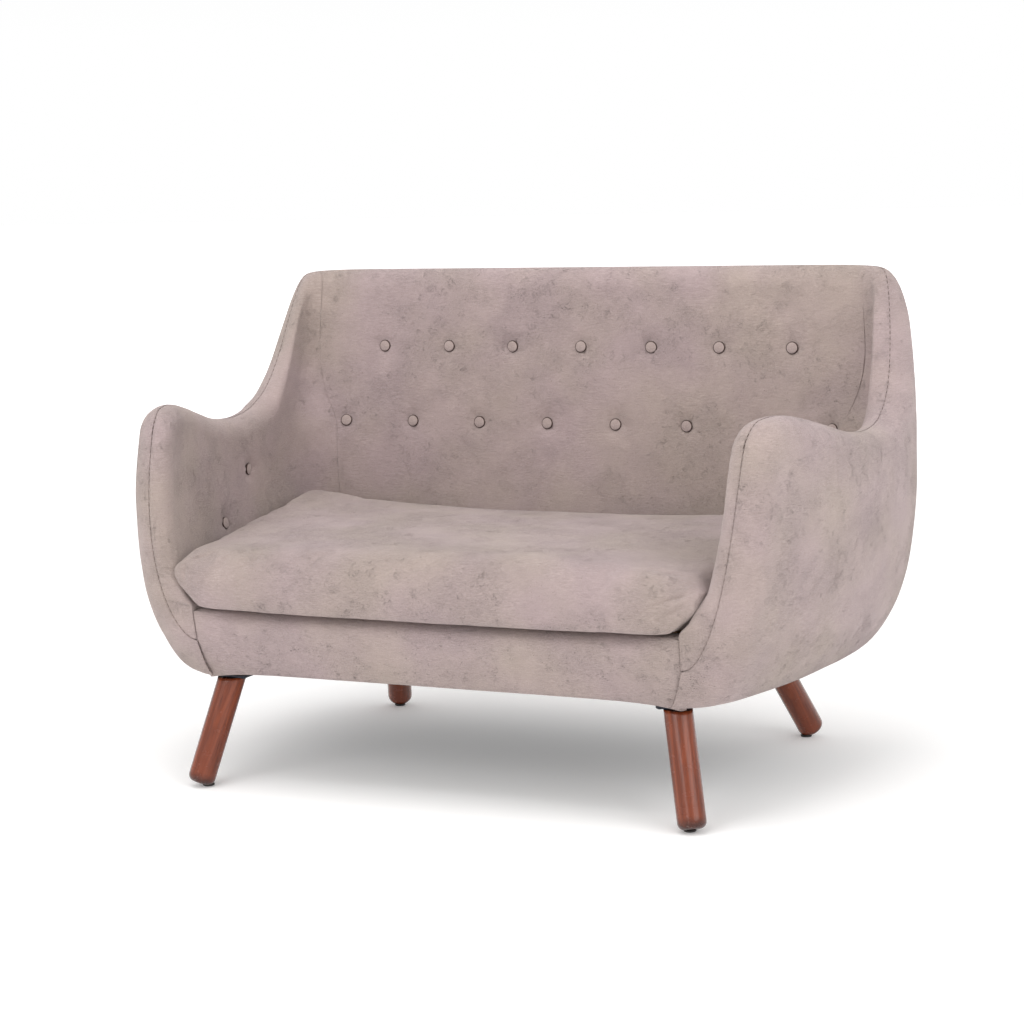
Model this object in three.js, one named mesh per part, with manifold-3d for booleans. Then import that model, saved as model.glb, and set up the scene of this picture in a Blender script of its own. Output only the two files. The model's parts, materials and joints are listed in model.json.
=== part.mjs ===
// Dog bed with frame: a small two-seat, sofa-shaped pet bed.
// An upholstered shell of thick rounded walls stands on four splayed round legs.
// A bent plywood core runs inside each wall, a soft pad lies on the inside of it
// and a padded cover on the outside. A loose cushion fills the seat.
//
// Millimetres, +Z up, the open front faces -Y. The origin is on the floor,
// below the middle of the bed.

import * as THREE from 'three';
import { mergeVertices } from 'three/addons/utils/BufferGeometryUtils.js';
import Module from 'manifold-3d';

const wasm = await Module();
wasm.setup();

// ---------------------------------------------------------------- dimensions

const GAP = 0.3; // air between pieces that touch

// shell
const HALF_WIDTH = 505; // outer half width at the waist
const REAR = 293.7; // outer face of the back at the waist
const WAIST = 400; // height of the widest level
const SHELL_BOTTOM = 148.5;
const SHELL_TOP = 662;
const NOSE = -262; // nominal front of the arms
const WIDEST = 110; // y where the sides are widest
const TAPER = 62; // how far the arms close in towards the nose
const TAPER_RUN = 372; // over this length
const NOSE_LEVEL = 262; // height where an arm reaches furthest forward
const NOSE_FRONT = -293;
const WALL = 58; // arm thickness
const RIM_RADIUS = 30; // rounding of the top edge
const NOSE_RADIUS = 32; // rounding of the arm fronts
const SKIRT = 14; // thickness of the outer cover below the deck
// how far the faces of the wall draw in below the waist, and over what depth
const OUTER_BOWL = { side: 118, rear: 79, depth: 262, power: 2.3 };
const INNER_BOWL = { side: 100, depth: 200, power: 2.1 };
const LEAN = { outer: 34, inner: 12, rear: 38 }; // how far they draw in towards the top
const CORE = 12; // plywood core
const CORE_BOTTOM = 165;
const CORE_RIM_MARGIN = 55; // core ends this far below the rim
const POCKET_AIR = 1.8; // room round the core

// base frame
const FRAME_BOTTOM = 152;
const FRAME_TOP = 232.7;
const RAIL = 20; // rail thickness
const FRONT_RAIL_Y = -251;
const FRONT_RAIL_BOTTOM = 162;
const FRONT_RAIL_HALF = 326;
const REAR_RAIL_HALF = 340;
const REAR_RAIL_Y = 200;
const SIDE_RAIL_X = 346;
const DECK_TOP = 242;
const DECK = 9;
const PAD_BOTTOM = DECK_TOP + 2; // the pads stand on the deck
const PAD_BOTTOM_AT_NOSE = 208; // and reach down beside the front rail cover
const DUST_COVER_Z = 148.5;
const DUST_COVER = 2;
const DUST_COVER_FRONT = [312, -238]; // its front corner

// legs
const LEG_RADIUS = 18;
const LEG_FILLET = 9;
const LEG_TOP = 143.7;
const GLIDE_RADIUS = 8;
const GLIDE = 3;
const PLATE = 4;
const PLATE_HALF = 19;
const BOLT_RADIUS = 4;
const BOLT_IN_LEG = 32;
const BOLT_IN_BLOCK = 46;
const BLOCK_HEIGHT = 48;
// the right-hand legs: floor point, inward lean per mm of height, the corner block
// above, and how far the plate is off the leg's axis
const LEGS = {
  front: {
    x: 350,
    y: -280,
    leanX: -0.23,
    leanY: 0.29,
    blockX: [276, 335],
    blockY: [-240, -182],
    plate: [-7, 7],
  },
  rear: {
    x: 330,
    y: 262,
    leanX: -0.29,
    leanY: -0.62,
    blockX: [250, 335],
    blockY: [112, 189],
    plate: [-5, 0],
  },
};

// loose cushion
const CUSHION_BOTTOM = 246;
const CUSHION_FRONT = -298;
const CUSHION_REAR = 182;
const CUSHION_SIDE_GAP = 8;
const CUSHION_EDGE = 284; // height of the widest line round the cushion
const CUSHION_CROWN = 311; // height of its top before the crown
const CUSHION_ROLL = { front: 50, side: 24, rear: 20 }; // rounding of its upper edge

// zipper on the back of the cushion
const ZIP_HALF = 300;
const ZIP_TAPE = [12, 1.4]; // height and thickness
const ZIP_Z = 266;
const SLIDER = [9, 4, 13];
const SLIDER_START = 12; // from the end of the tape
const PULL = [6, 1.4, 14.5];
const PULL_PIVOT = 0.5; // the pull swings about a line this far below its top

// covered buttons
const BUTTON_RADIUS = 8.9;
const BUTTON_HEIGHT = 6;
const UPPER_ROW = { z: 549, x: [-315, -209, -107, 0, 107, 209, 315] };
const LOWER_ROW = { z: 439, x: [-376, -269, -161, -53, 53, 161, 269, 376] };
const ARM_BUTTONS = [
  { y: 41, z: 384 },
  { y: -56, z: 319 },
];

// ------------------------------------------------------------------ materials

const material = (color, roughness, metalness = 0) =>
  new THREE.MeshStandardMaterial({ color, roughness, metalness });
const fabric = material(0xa5968f, 0.95);
const fabricSeat = material(0xae9e97, 0.95);
const walnut = material(0x6a3a28, 0.4);
const plywood = material(0xc9a877, 0.7);
const beech = material(0xc4a27a, 0.65);
const blackCloth = material(0x2a2a2c, 0.9);
const darkSteel = material(0x23262c, 0.45, 0.8);
const zincSteel = material(0x9b9ea2, 0.35, 1);
const nylon = material(0x1c1a19, 0.5);
const zipTape = material(0x8f837d, 0.9);

// --------------------------------------------------------------- mesh helpers

const model = new THREE.Group();

function add(name, geometry, look, position = [0, 0, 0]) {
  const mesh = new THREE.Mesh(geometry, look);
  mesh.name = name;
  mesh.position.set(...position);
  model.add(mesh);
  return mesh;
}

function toSolid(geometry) {
  const bare = geometry.clone();
  bare.deleteAttribute('normal');
  bare.deleteAttribute('uv');
  const merged = mergeVertices(bare, 1e-3);
  const mesh = new wasm.Mesh({
    numProp: 3,
    vertProperties: new Float32Array(merged.attributes.position.array),
    triVerts: new Uint32Array(merged.index.array),
  });
  return new wasm.Manifold(mesh);
}

function toGeometry(solid) {
  const mesh = solid.getMesh();
  const geometry = new THREE.BufferGeometry();
  geometry.setAttribute('position', new THREE.BufferAttribute(mesh.vertProperties, 3));
  geometry.setIndex(new THREE.BufferAttribute(mesh.triVerts, 1));
  geometry.computeVertexNormals();
  return geometry;
}

const cut = (geometry, ...tools) =>
  toGeometry(tools.reduce((left, tool) => left.subtract(toSolid(tool)), toSolid(geometry)));

// the main body of a solid, without chips that a cut has split off
const largestBody = (geometry) =>
  toGeometry(toSolid(geometry).decompose().sort((a, b) => b.volume() - a.volume())[0]);

const keepBetween = (geometry, low, high) => {
  const slab = new THREE.BoxGeometry(4000, 4000, high - low).translate(0, 0, (low + high) / 2);
  return toGeometry(toSolid(geometry).intersect(toSolid(slab)));
};

// A closed body between two grids of points, near[i][j] and far[i][j].
function slabBetween(near, far) {
  const rows = near.length;
  const columns = near[0].length;
  const positions = [...near, ...far].flat().flatMap((p) => [p.x, p.y, p.z]);
  const at = (side, i, j) => side * rows * columns + i * columns + j;
  const index = [];
  const quad = (a, b, c, d) => index.push(a, b, c, a, c, d);
  for (let i = 0; i + 1 < rows; i++) {
    for (let j = 0; j + 1 < columns; j++) {
      quad(at(0, i, j), at(0, i, j + 1), at(0, i + 1, j + 1), at(0, i + 1, j));
      quad(at(1, i, j), at(1, i + 1, j), at(1, i + 1, j + 1), at(1, i, j + 1));
    }
    quad(at(0, i, 0), at(0, i + 1, 0), at(1, i + 1, 0), at(1, i, 0));
    quad(at(0, i + 1, columns - 1), at(0, i, columns - 1), at(1, i, columns - 1), at(1, i + 1, columns - 1));
  }
  for (let j = 0; j + 1 < columns; j++) {
    quad(at(0, 0, j + 1), at(0, 0, j), at(1, 0, j), at(1, 0, j + 1));
    quad(at(0, rows - 1, j), at(0, rows - 1, j + 1), at(1, rows - 1, j + 1), at(1, rows - 1, j));
  }
  if (signedVolume(positions, index) < 0) index.reverse();
  const geometry = new THREE.BufferGeometry();
  geometry.setAttribute('position', new THREE.Float32BufferAttribute(positions, 3));
  geometry.setIndex(index);
  geometry.computeVertexNormals();
  return geometry;
}

function signedVolume(positions, index) {
  const point = (k) => new THREE.Vector3().fromArray(positions, 3 * k);
  let volume = 0;
  for (let k = 0; k < index.length; k += 3) {
    volume += point(index[k]).dot(point(index[k + 1]).cross(point(index[k + 2])));
  }
  return volume;
}

const { clamp, lerp, smoothstep } = THREE.MathUtils;
const range = (n) => Array.from({ length: n }, (_, k) => k);

// ---------------------------------------------------------------- shell shape

// 0 at height `top` and above, growing like an ellipse to 1 at top - depth
const bowl = (z, top, depth, power) => {
  const t = clamp((top - z) / depth, 0, 1);
  return 1 - (1 - t ** power) ** (1 / power);
};
const rise = (z) => clamp((z - WAIST) / (SHELL_TOP - WAIST), 0, 1) ** 1.6;

const outerTuck = (z) => bowl(z, WAIST, OUTER_BOWL.depth, OUTER_BOWL.power);
const outerHalfWidth = (z) => HALF_WIDTH - OUTER_BOWL.side * outerTuck(z) - LEAN.outer * rise(z);
const outerRear = (z) => REAR - OUTER_BOWL.rear * outerTuck(z) - LEAN.rear * rise(z);
const innerTuck = (z) => bowl(z, WAIST, INNER_BOWL.depth, INNER_BOWL.power);
const innerHalfWidth = (z) => HALF_WIDTH - WALL - INNER_BOWL.side * innerTuck(z) - LEAN.inner * rise(z);
const innerRear = (z) => 214 + (z - 440) * 0.05 - 45 * bowl(z, 250, 104, 2);

// the arm front leans back above its foremost level and below it
const noseY = (z) => {
  const t = z > NOSE_LEVEL ? (z - NOSE_LEVEL) / 235 : (NOSE_LEVEL - z) / 105;
  return NOSE_FRONT + (z > NOSE_LEVEL ? 46 : 20) * t * t;
};

const RIM_END = 228; // y where the rim has reached its full height
// height of the rim along the side, from the nose over the dip and up the wing
const rimCurve = new THREE.CatmullRomCurve3(
  [
    [-262, 488], [-240, 498], [-200, 500], [-150, 492], [-90, 478], [-40, 466], [10, 460],
    [50, 460], [86, 466], [108, 475], [128, 489], [146, 511], [163, 542], [182, 588],
    [198, 628], [212, 654], [RIM_END, SHELL_TOP],
  ].map(([y, z]) => new THREE.Vector3(0, y, z)),
);
const rimPoints = rimCurve.getPoints(200);
function rimHeight(y) {
  const next = rimPoints.findIndex((p) => p.y >= y);
  if (next < 0) return SHELL_TOP;
  if (next === 0) return rimPoints[0].z;
  const [a, b] = [rimPoints[next - 1], rimPoints[next]];
  return lerp(a.z, b.z, (y - a.y) / (b.y - a.y));
}

// A station is a place along the wall, from the nose (0) round to the middle of
// the back (1). Half of the way is the side and the rest is a turn about the
// middle of the widest line, with the rear corner half way.
const station = (s) =>
  s <= 0.5 ? { along: lerp(NOSE, WIDEST, s * 2) } : { turn: (s - 0.5) * Math.PI, along: null };

// the point of a unit superellipse in the direction of a turn
function superellipse(turn, power) {
  const [c, s] = [Math.max(Math.cos(turn), 0), Math.sin(turn)];
  const size = (c ** power + s ** power) ** (1 / power);
  return [c / size, s / size];
}

const nominalY = (st) => st.along ?? WIDEST + (RIM_END - WIDEST) * superellipse(st.turn, 16)[1];

function planPoint(st, z, halfWidth, rear, squareness) {
  if (st.along !== null) {
    const stretch = (WIDEST - noseY(z)) / (WIDEST - NOSE);
    const y = WIDEST + (st.along - WIDEST) * stretch;
    return new THREE.Vector3(halfWidth - TAPER * ((WIDEST - y) / TAPER_RUN) ** 2, y, z);
  }
  const [across, back] = superellipse(st.turn, squareness);
  return new THREE.Vector3(halfWidth * across, WIDEST + (rear - WIDEST) * back, z);
}
const outerPoint = (st, z) => planPoint(st, z, outerHalfWidth(z), outerRear(z), 3.6 + 6 * rise(z));
const innerPoint = (st, z) =>
  planPoint(st, z, innerHalfWidth(z), innerRear(z), 5 + 9 * smoothstep(z, 430, 560));

// The wall at one station and height: the surface that divides the pad from the
// cover, the way outwards, and the room on both sides of it.
function wallSection(st, z) {
  const outer = outerPoint(st, z);
  const inner = innerPoint(st, Math.max(z, 200));
  const outwards = new THREE.Vector3(outer.x - inner.x, outer.y - inner.y, 0);
  const thickness = outwards.length();
  outwards.divideScalar(thickness);
  const behindNose = st.along === null ? 1 : smoothstep(st.along, NOSE, NOSE + 55);
  const aboveDeck = smoothstep(z, 235, 315);
  const skirt = lerp(thickness / 2, Math.min(SKIRT, thickness / 2), behindNose * (1 - aboveDeck));
  const rim = clamp((rimHeight(nominalY(st)) - z) / RIM_RADIUS, 0, 1);
  const nose = st.along === null ? 1 : clamp((st.along - NOSE) / NOSE_RADIUS, 0, 1);
  const fullness = Math.sqrt(1 - (1 - rim) ** 2) * Math.sqrt(1 - (1 - nose) ** 2);
  const middle = outer.clone().addScaledVector(outwards, -skirt);
  return { middle, outwards, out: skirt * fullness, in: (thickness - skirt) * fullness };
}

// Stations for the arm (nose to corner) and the back (corner to corner), and for
// the plywood in them and the pocket it lies in
const noseSteps = range(4).map(
  (k) => (NOSE_RADIUS * (1 - Math.cos((k * Math.PI) / 8))) / (2 * (WIDEST - NOSE)),
);
const ALONG_ARM = [0.12, 0.2, 0.28, 0.36, 0.44, 0.5, 0.54, 0.58, 0.62, 0.655, 0.685, 0.71, 0.73];
const ALONG_BACK = [0.77, 0.79, 0.815, 0.85, 0.89, 0.94, 1];
const ARM_STATIONS = [...noseSteps, 0.075, ...ALONG_ARM, 0.748];
const BACK_STATIONS = [0.752, ...ALONG_BACK];
const ARM_CORE_STATIONS = [0.06, ...ALONG_ARM, 0.742];
const ARM_POCKET_STATIONS = [0.058, ...ALONG_ARM, 0.742, 0.755];
const BACK_CORE_STATIONS = [0.758, ...ALONG_BACK];
const BACK_POCKET_STATIONS = [0.745, 0.758, ...ALONG_BACK];

// Heights of the grid at one station. The cover goes on below the pad, and both
// have the same heights above that, so that their facets lie against each other.
const padLevels = (st, rim) => [
  ...range(8).map((k) => lerp(padLow(st), rim - RIM_RADIUS, k / 7)),
  ...range(4).map((k) => rim - RIM_RADIUS + RIM_RADIUS * Math.sin(((k + 1) * Math.PI) / 8)),
];
const SKIRT_STEPS = [0, 0.03, 0.1, 0.24, 0.48, 0.74];
const coverLevels = (st, rim) => [
  ...SKIRT_STEPS.map((t) => lerp(SHELL_BOTTOM, padLow(st), t)),
  ...padLevels(st, rim),
];
const innerLevels = (low, margin) => (st, rim) => range(8).map((k) => lerp(low, rim - margin, k / 7));
const coreLevels = innerLevels(CORE_BOTTOM, CORE_RIM_MARGIN);
const pocketLevels = innerLevels(CORE_BOTTOM - POCKET_AIR, CORE_RIM_MARGIN - POCKET_AIR);

const mirrored = (row) => row.map((p) => new THREE.Vector3(-p.x, p.y, p.z));

// A strip of wall. side is 1 (right), -1 (left) or 0 (the back, both halves).
function wallPiece(stations, side, heightsAt, point) {
  const grid = (which) => {
    const rows = stations.map((s) => {
      const st = station(s);
      const heights = heightsAt(st, rimHeight(nominalY(st)));
      return heights.map((z) => point(wallSection(st, z), which));
    });
    if (side < 0) return rows.map(mirrored);
    return side ? rows : [...rows, ...rows.slice(0, -1).reverse().map(mirrored)];
  };
  return slabBetween(grid(0), grid(1));
}

const offset = (section, distance) =>
  section.middle.clone().addScaledVector(section.outwards, distance);
const EDGE = 0.8; // thickness left where a cover runs out at the seam
const padPoint = (section, which) => offset(section, -GAP / 2 - which * Math.max(section.in, EDGE));
const coverPoint = (section, which) => offset(section, GAP / 2 + which * Math.max(section.out, EDGE));
const corePoint = (section, which) => offset(section, (which - 0.5) * CORE);
const pocketPoint = (section, which) => offset(section, (which - 0.5) * (CORE + 2 * POCKET_AIR));

// the arm pads reach lower at the nose, where they meet the front rail cover
const padLow = (st) =>
  st.along === null
    ? PAD_BOTTOM
    : lerp(PAD_BOTTOM_AT_NOSE, PAD_BOTTOM, smoothstep(st.along, NOSE, NOSE + 40));

const SIDES = { left: -1, right: 1 };

function addWall(label, stations, coreStations, pocketStations, side) {
  const pocket = wallPiece(pocketStations, side, pocketLevels, pocketPoint);
  const core = wallPiece(coreStations, side, coreLevels, corePoint);
  const pad = cut(wallPiece(stations, side, padLevels, padPoint), pocket);
  const cover = cut(wallPiece(stations, side, coverLevels, coverPoint), pocket);
  add(`${label}_pad`, largestBody(pad), fabric);
  add(`${label}_outer_cover`, largestBody(cover), fabric);
  add(`${label}_core_panel`, core, plywood);
}

for (const [name, side] of Object.entries(SIDES)) {
  addWall(`${name}_arm`, ARM_STATIONS, ARM_CORE_STATIONS, ARM_POCKET_STATIONS, side);
}
addWall('back', BACK_STATIONS, BACK_CORE_STATIONS, BACK_POCKET_STATIONS, 0);

// ----------------------------------------------------------------- base frame

const boxBetween = ([x0, x1], [y0, y1], [z0, z1]) =>
  new THREE.BoxGeometry(x1 - x0, y1 - y0, z1 - z0).translate(
    (x0 + x1) / 2,
    (y0 + y1) / 2,
    (z0 + z1) / 2,
  );

const frameHeights = [FRAME_BOTTOM, FRAME_TOP];
const about = (centre, half) => [centre - half, centre + half];
const sideSpan = [-225, REAR_RAIL_Y - RAIL / 2 - GAP];

const frontRail = [about(0, FRONT_RAIL_HALF), about(FRONT_RAIL_Y, RAIL / 2), [FRONT_RAIL_BOTTOM, FRAME_TOP]];
add('front_rail', boxBetween(...frontRail), beech);
add('rear_rail', boxBetween(about(0, REAR_RAIL_HALF), about(REAR_RAIL_Y, RAIL / 2), frameHeights), beech);
const centreSpan = [FRONT_RAIL_Y + RAIL / 2 + GAP, REAR_RAIL_Y - RAIL / 2 - GAP];
add('centre_rail', boxBetween(about(0, RAIL / 2), centreSpan, frameHeights), beech);
for (const [name, side] of Object.entries(SIDES)) {
  add(`${name}_side_rail`, boxBetween(about(side * SIDE_RAIL_X, RAIL / 2), sideSpan, frameHeights), beech);
}

// the outline of the space inside the shell, seen from above, at one height
function planOutline(z, inset, frontCorners = []) {
  const right = ARM_STATIONS.filter((s) => s > 0.07)
    .concat(BACK_STATIONS)
    .map((s) => {
      const { middle, outwards } = wallSection(station(s), z);
      return middle.addScaledVector(outwards, -inset);
    });
  const half = [...frontCorners, ...right];
  const outline = [...half, ...mirrored(half.slice(0, -1).reverse())];
  return new THREE.Shape(outline.map((p) => new THREE.Vector2(p.x, p.y)));
}
const plate = (shape, low, thickness) =>
  new THREE.ExtrudeGeometry(shape, { depth: thickness, bevelEnabled: false }).translate(0, 0, low);

const DECK_INSET = CORE / 2 + 10;
add('seat_deck', plate(planOutline(DECK_TOP - DECK, DECK_INSET), DECK_TOP - DECK, DECK), plywood);

// front rail cover: padded strip over the front rail, its ends cut to the arms
const RAIL_COVER = [
  { z: 157, x: 330, y: -268 },
  { z: 184, x: 332, y: -276 },
  { z: 207, x: 333, y: -284 },
  { z: 226, x: 326, y: -289 },
  { z: 238, x: 323, y: -290 },
  { z: 244, x: 322, y: -285 },
];
const coverBack = FRONT_RAIL_Y - RAIL / 2 - GAP;
const railCoverGrid = (which) =>
  range(9).map((k) =>
    RAIL_COVER.map(({ x, y, z }) => new THREE.Vector3(x * (k / 4 - 1), which ? y : coverBack, z)),
  );
add('front_rail_cover', slabBetween(railCoverGrid(0), railCoverGrid(1)), fabric);

// ----------------------------------------------------------------------- legs

const legAxis = ({ leanX, leanY }, side) => new THREE.Vector3(side * leanX, leanY, 1).normalize();

function alongLeg(geometry, leg, side) {
  const turn = new THREE.Quaternion().setFromUnitVectors(new THREE.Vector3(0, 0, 1), legAxis(leg, side));
  return geometry.applyQuaternion(turn).translate(side * leg.x, leg.y, 0);
}
const rod = (radius, low, high, segments = 20) =>
  new THREE.CylinderGeometry(radius, radius, high - low, segments)
    .rotateX(Math.PI / 2)
    .translate(0, 0, (low + high) / 2);

// distance along the axis from the floor to the rounded end of the leg
function legStart(tilt) {
  const reach = (LEG_RADIUS - LEG_FILLET) * Math.sin(tilt) + LEG_FILLET;
  return (GLIDE - 1.5 + reach) / Math.cos(tilt) - LEG_FILLET;
}

function legBody(start, end) {
  const fillet = range(5).map((k) => {
    const angle = (k * Math.PI) / 8;
    return new THREE.Vector2(
      LEG_RADIUS - LEG_FILLET * (1 - Math.sin(angle)),
      start + LEG_FILLET * (1 - Math.cos(angle)),
    );
  });
  const top = [new THREE.Vector2(LEG_RADIUS, end), new THREE.Vector2(0, end)];
  const profile = [new THREE.Vector2(0, start), ...fillet, ...top];
  return new THREE.LatheGeometry(profile, 24).rotateX(Math.PI / 2);
}

const dustCoverHoles = [];
for (const [row, leg] of Object.entries(LEGS)) {
  for (const [name, side] of Object.entries(SIDES)) {
    const label = `${row}_${name}`;
    const axis = legAxis(leg, side);
    const tilt = Math.acos(axis.z);
    const start = legStart(tilt);
    const plateAlong = LEG_TOP / axis.z;
    const bolt = [plateAlong - BOLT_IN_LEG, plateAlong + BOLT_IN_BLOCK];
    const boltHole = alongLeg(rod(BOLT_RADIUS + GAP, bolt[0] - 1, bolt[1] + 1), leg, side);

    const body = alongLeg(legBody(start, plateAlong + LEG_RADIUS), leg, side);
    add(`leg_${label}`, keepBetween(cut(body, boltHole), GLIDE + GAP, LEG_TOP), walnut);

    const inwards = new THREE.Vector3(axis.x, axis.y, 0).normalize();
    const reach = (LEG_RADIUS - LEG_FILLET) * Math.cos(tilt) + (start + LEG_FILLET) * Math.sin(tilt);
    const foot = [side * leg.x + inwards.x * reach, leg.y + inwards.y * reach, 0];
    add(`foot_glide_${label}`, rod(GLIDE_RADIUS, 0, GLIDE), nylon, foot);

    add(`hanger_bolt_${label}`, alongLeg(rod(BOLT_RADIUS, bolt[0], bolt[1], 16), leg, side), zincSteel);

    const plateX = side * (leg.x + leg.leanX * (LEG_TOP + PLATE / 2) + leg.plate[0]);
    const plateY = leg.y + leg.leanY * (LEG_TOP + PLATE / 2) + leg.plate[1];
    const plateZ = [LEG_TOP + GAP, LEG_TOP + GAP + PLATE];
    const plateBox = boxBetween(about(plateX, PLATE_HALF), about(plateY, PLATE_HALF), plateZ);
    add(`leg_plate_${label}`, cut(plateBox, boltHole), darkSteel);

    const blockX = leg.blockX.map((x) => side * x).sort((a, b) => a - b);
    const block = boxBetween(blockX, leg.blockY, [FRAME_BOTTOM, FRAME_BOTTOM + BLOCK_HEIGHT]);
    add(`corner_block_${label}`, cut(block, boltHole), beech);
    dustCoverHoles.push(boltHole);
  }
}

const dustCoverFront = [new THREE.Vector3(...DUST_COVER_FRONT, 0)];
const dustCover = plate(planOutline(DUST_COVER_Z, 2, dustCoverFront), DUST_COVER_Z, DUST_COVER);
add('dust_cover', cut(dustCover, ...dustCoverHoles), blackCloth);

// -------------------------------------------------------------------- cushion

// half width of the seat between the arm pads
function seatHalfWidth(y, z) {
  const atSide = innerHalfWidth(z) - TAPER * (Math.max(WIDEST - y, 0) / TAPER_RUN) ** 2;
  const turn = Math.max(y - WIDEST, 0) / (innerRear(z) - WIDEST);
  return atSide * (1 - turn ** 5) ** (1 / 5) - CUSHION_SIDE_GAP;
}

// height of the top: a low crown that is highest at the rear corners
function cushionTop(x, back) {
  const across = Math.abs(x) / 400;
  const crown = 18 * Math.sin(Math.PI * (0.16 + 0.78 * back)) * (1 - across ** 2);
  return CUSHION_CROWN + crown + across ** 2.4 * (33 * back ** 1.6 - 3);
}

// share of the height over the widest line that is left at a distance from an edge
const rounded = (room, roll) => Math.sqrt(1 - (1 - clamp(room / roll, 0, 1)) ** 2);

// the flat underside (0) and the crowned top (1), on the same grid
function cushionGrid(which) {
  const columns = range(13).map((k) => Math.sin((k / 12 - 0.5) * Math.PI));
  const rows = range(11).map((k) => (1 - Math.cos((k / 10) * Math.PI)) / 2);
  return columns.map((a) =>
    rows.map((b) => {
      const cornerCut = 16 * a ** 8 * (1 - b) ** 5;
      const front = CUSHION_FRONT + (which ? 0 : 6) + cornerCut;
      const y = lerp(front, CUSHION_REAR, b);
      const half = seatHalfWidth(y, which ? CUSHION_EDGE : CUSHION_BOTTOM);
      if (!which) return new THREE.Vector3(a * half, y, CUSHION_BOTTOM);
      const share =
        rounded(y - front, CUSHION_ROLL.front) *
        rounded(half * (1 - Math.abs(a)), CUSHION_ROLL.side) *
        rounded(CUSHION_REAR - y, CUSHION_ROLL.rear);
      return new THREE.Vector3(a * half, y, lerp(CUSHION_EDGE, cushionTop(a * half, b), share));
    }),
  );
}
add('seat_cushion', slabBetween(cushionGrid(0), cushionGrid(1)), fabricSeat);

// zipper, low on the back of the cushion
const [tapeHeight, tapeThickness] = ZIP_TAPE;
const tapeY = [CUSHION_REAR + GAP, CUSHION_REAR + GAP + tapeThickness];
add('zipper_tape', boxBetween(about(0, ZIP_HALF), tapeY, about(ZIP_Z, tapeHeight / 2)), zipTape);
const sliderX = about(SLIDER_START - ZIP_HALF, SLIDER[0] / 2);
const sliderY = [tapeY[1] + GAP, tapeY[1] + GAP + SLIDER[1]];
add('zipper_slider', boxBetween(sliderX, sliderY, about(ZIP_Z, SLIDER[2] / 2)), zincSteel);
const pullX = about(SLIDER_START - ZIP_HALF, PULL[0] / 2);
const pullY = [sliderY[1] + GAP, sliderY[1] + GAP + PULL[1]];
const pullTop = ZIP_Z + PULL_PIVOT;
add('zipper_pull', boxBetween(pullX, pullY, [pullTop - PULL[2], pullTop]), zincSteel);

// -------------------------------------------------------------------- buttons

function buttonGeometry() {
  const dome = range(4).map((k) => {
    const angle = (k * Math.PI) / 6;
    return new THREE.Vector2(BUTTON_RADIUS * Math.cos(angle), 1.5 + (BUTTON_HEIGHT - 1.5) * Math.sin(angle));
  });
  const profile = [new THREE.Vector2(0, 0), new THREE.Vector2(BUTTON_RADIUS - 1, 0), ...dome];
  profile[profile.length - 1].x = 0;
  return new THREE.LatheGeometry(profile, 12).rotateX(Math.PI / 2);
}

const BUTTON_RAY = 40; // length of the rays

// A button stands on the inner face of a pad: rays from the seat find the face
// behind its middle and its rim, and it is set down on the nearest of them.
function addButton(name, pad, start, towards) {
  pad.updateWorldMatrix(true, false);
  const hit = (from, way) => new THREE.Raycaster(from, way).intersectObject(pad)[0];
  const middle = hit(start, towards);
  const facing = middle.face.normal.clone();
  const turn = new THREE.Quaternion().setFromUnitVectors(new THREE.Vector3(0, 0, 1), facing);
  const back = facing.clone().negate();
  const rim = range(8).map((k) => {
    const angle = (k * Math.PI) / 4;
    const spoke = new THREE.Vector3(BUTTON_RADIUS * Math.cos(angle), BUTTON_RADIUS * Math.sin(angle), 0);
    return middle.point.clone().add(spoke.applyQuaternion(turn)).addScaledVector(facing, BUTTON_RAY);
  });
  const lift = Math.max(0, ...rim.map((from) => BUTTON_RAY - hit(from, back).distance));
  const mesh = add(name, buttonGeometry(), fabric);
  mesh.quaternion.copy(turn);
  mesh.position.copy(middle.point).addScaledVector(facing, lift + GAP);
}
const backPad = model.getObjectByName('back_pad');
for (const [rowName, { x, z }] of Object.entries({ upper: UPPER_ROW, lower: LOWER_ROW })) {
  x.forEach((at, k) => {
    const start = new THREE.Vector3(at, 0, z);
    addButton(`button_back_${rowName}_${k + 1}`, backPad, start, new THREE.Vector3(0, 1, 0));
  });
}
for (const [name, side] of Object.entries(SIDES)) {
  const pad = model.getObjectByName(`${name}_arm_pad`);
  ARM_BUTTONS.forEach(({ y, z }, k) => {
    const start = new THREE.Vector3(0, y, z);
    addButton(`button_${name}_arm_${k + 1}`, pad, start, new THREE.Vector3(side, 0, 0));
  });
}

export default model;
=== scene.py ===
"""Dog bed with frame: the looks of a small two-seat, sofa-shaped pet bed.

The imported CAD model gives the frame. Soft parts, legs, buttons and the zipper are
built here as fine meshes around it, and every surface gets a procedural material.
Shapes are worked out in millimetres and made in metres.
"""
import json
import math

import bmesh
import bpy
import numpy as np
from mathutils import Matrix, Vector, noise

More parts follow.
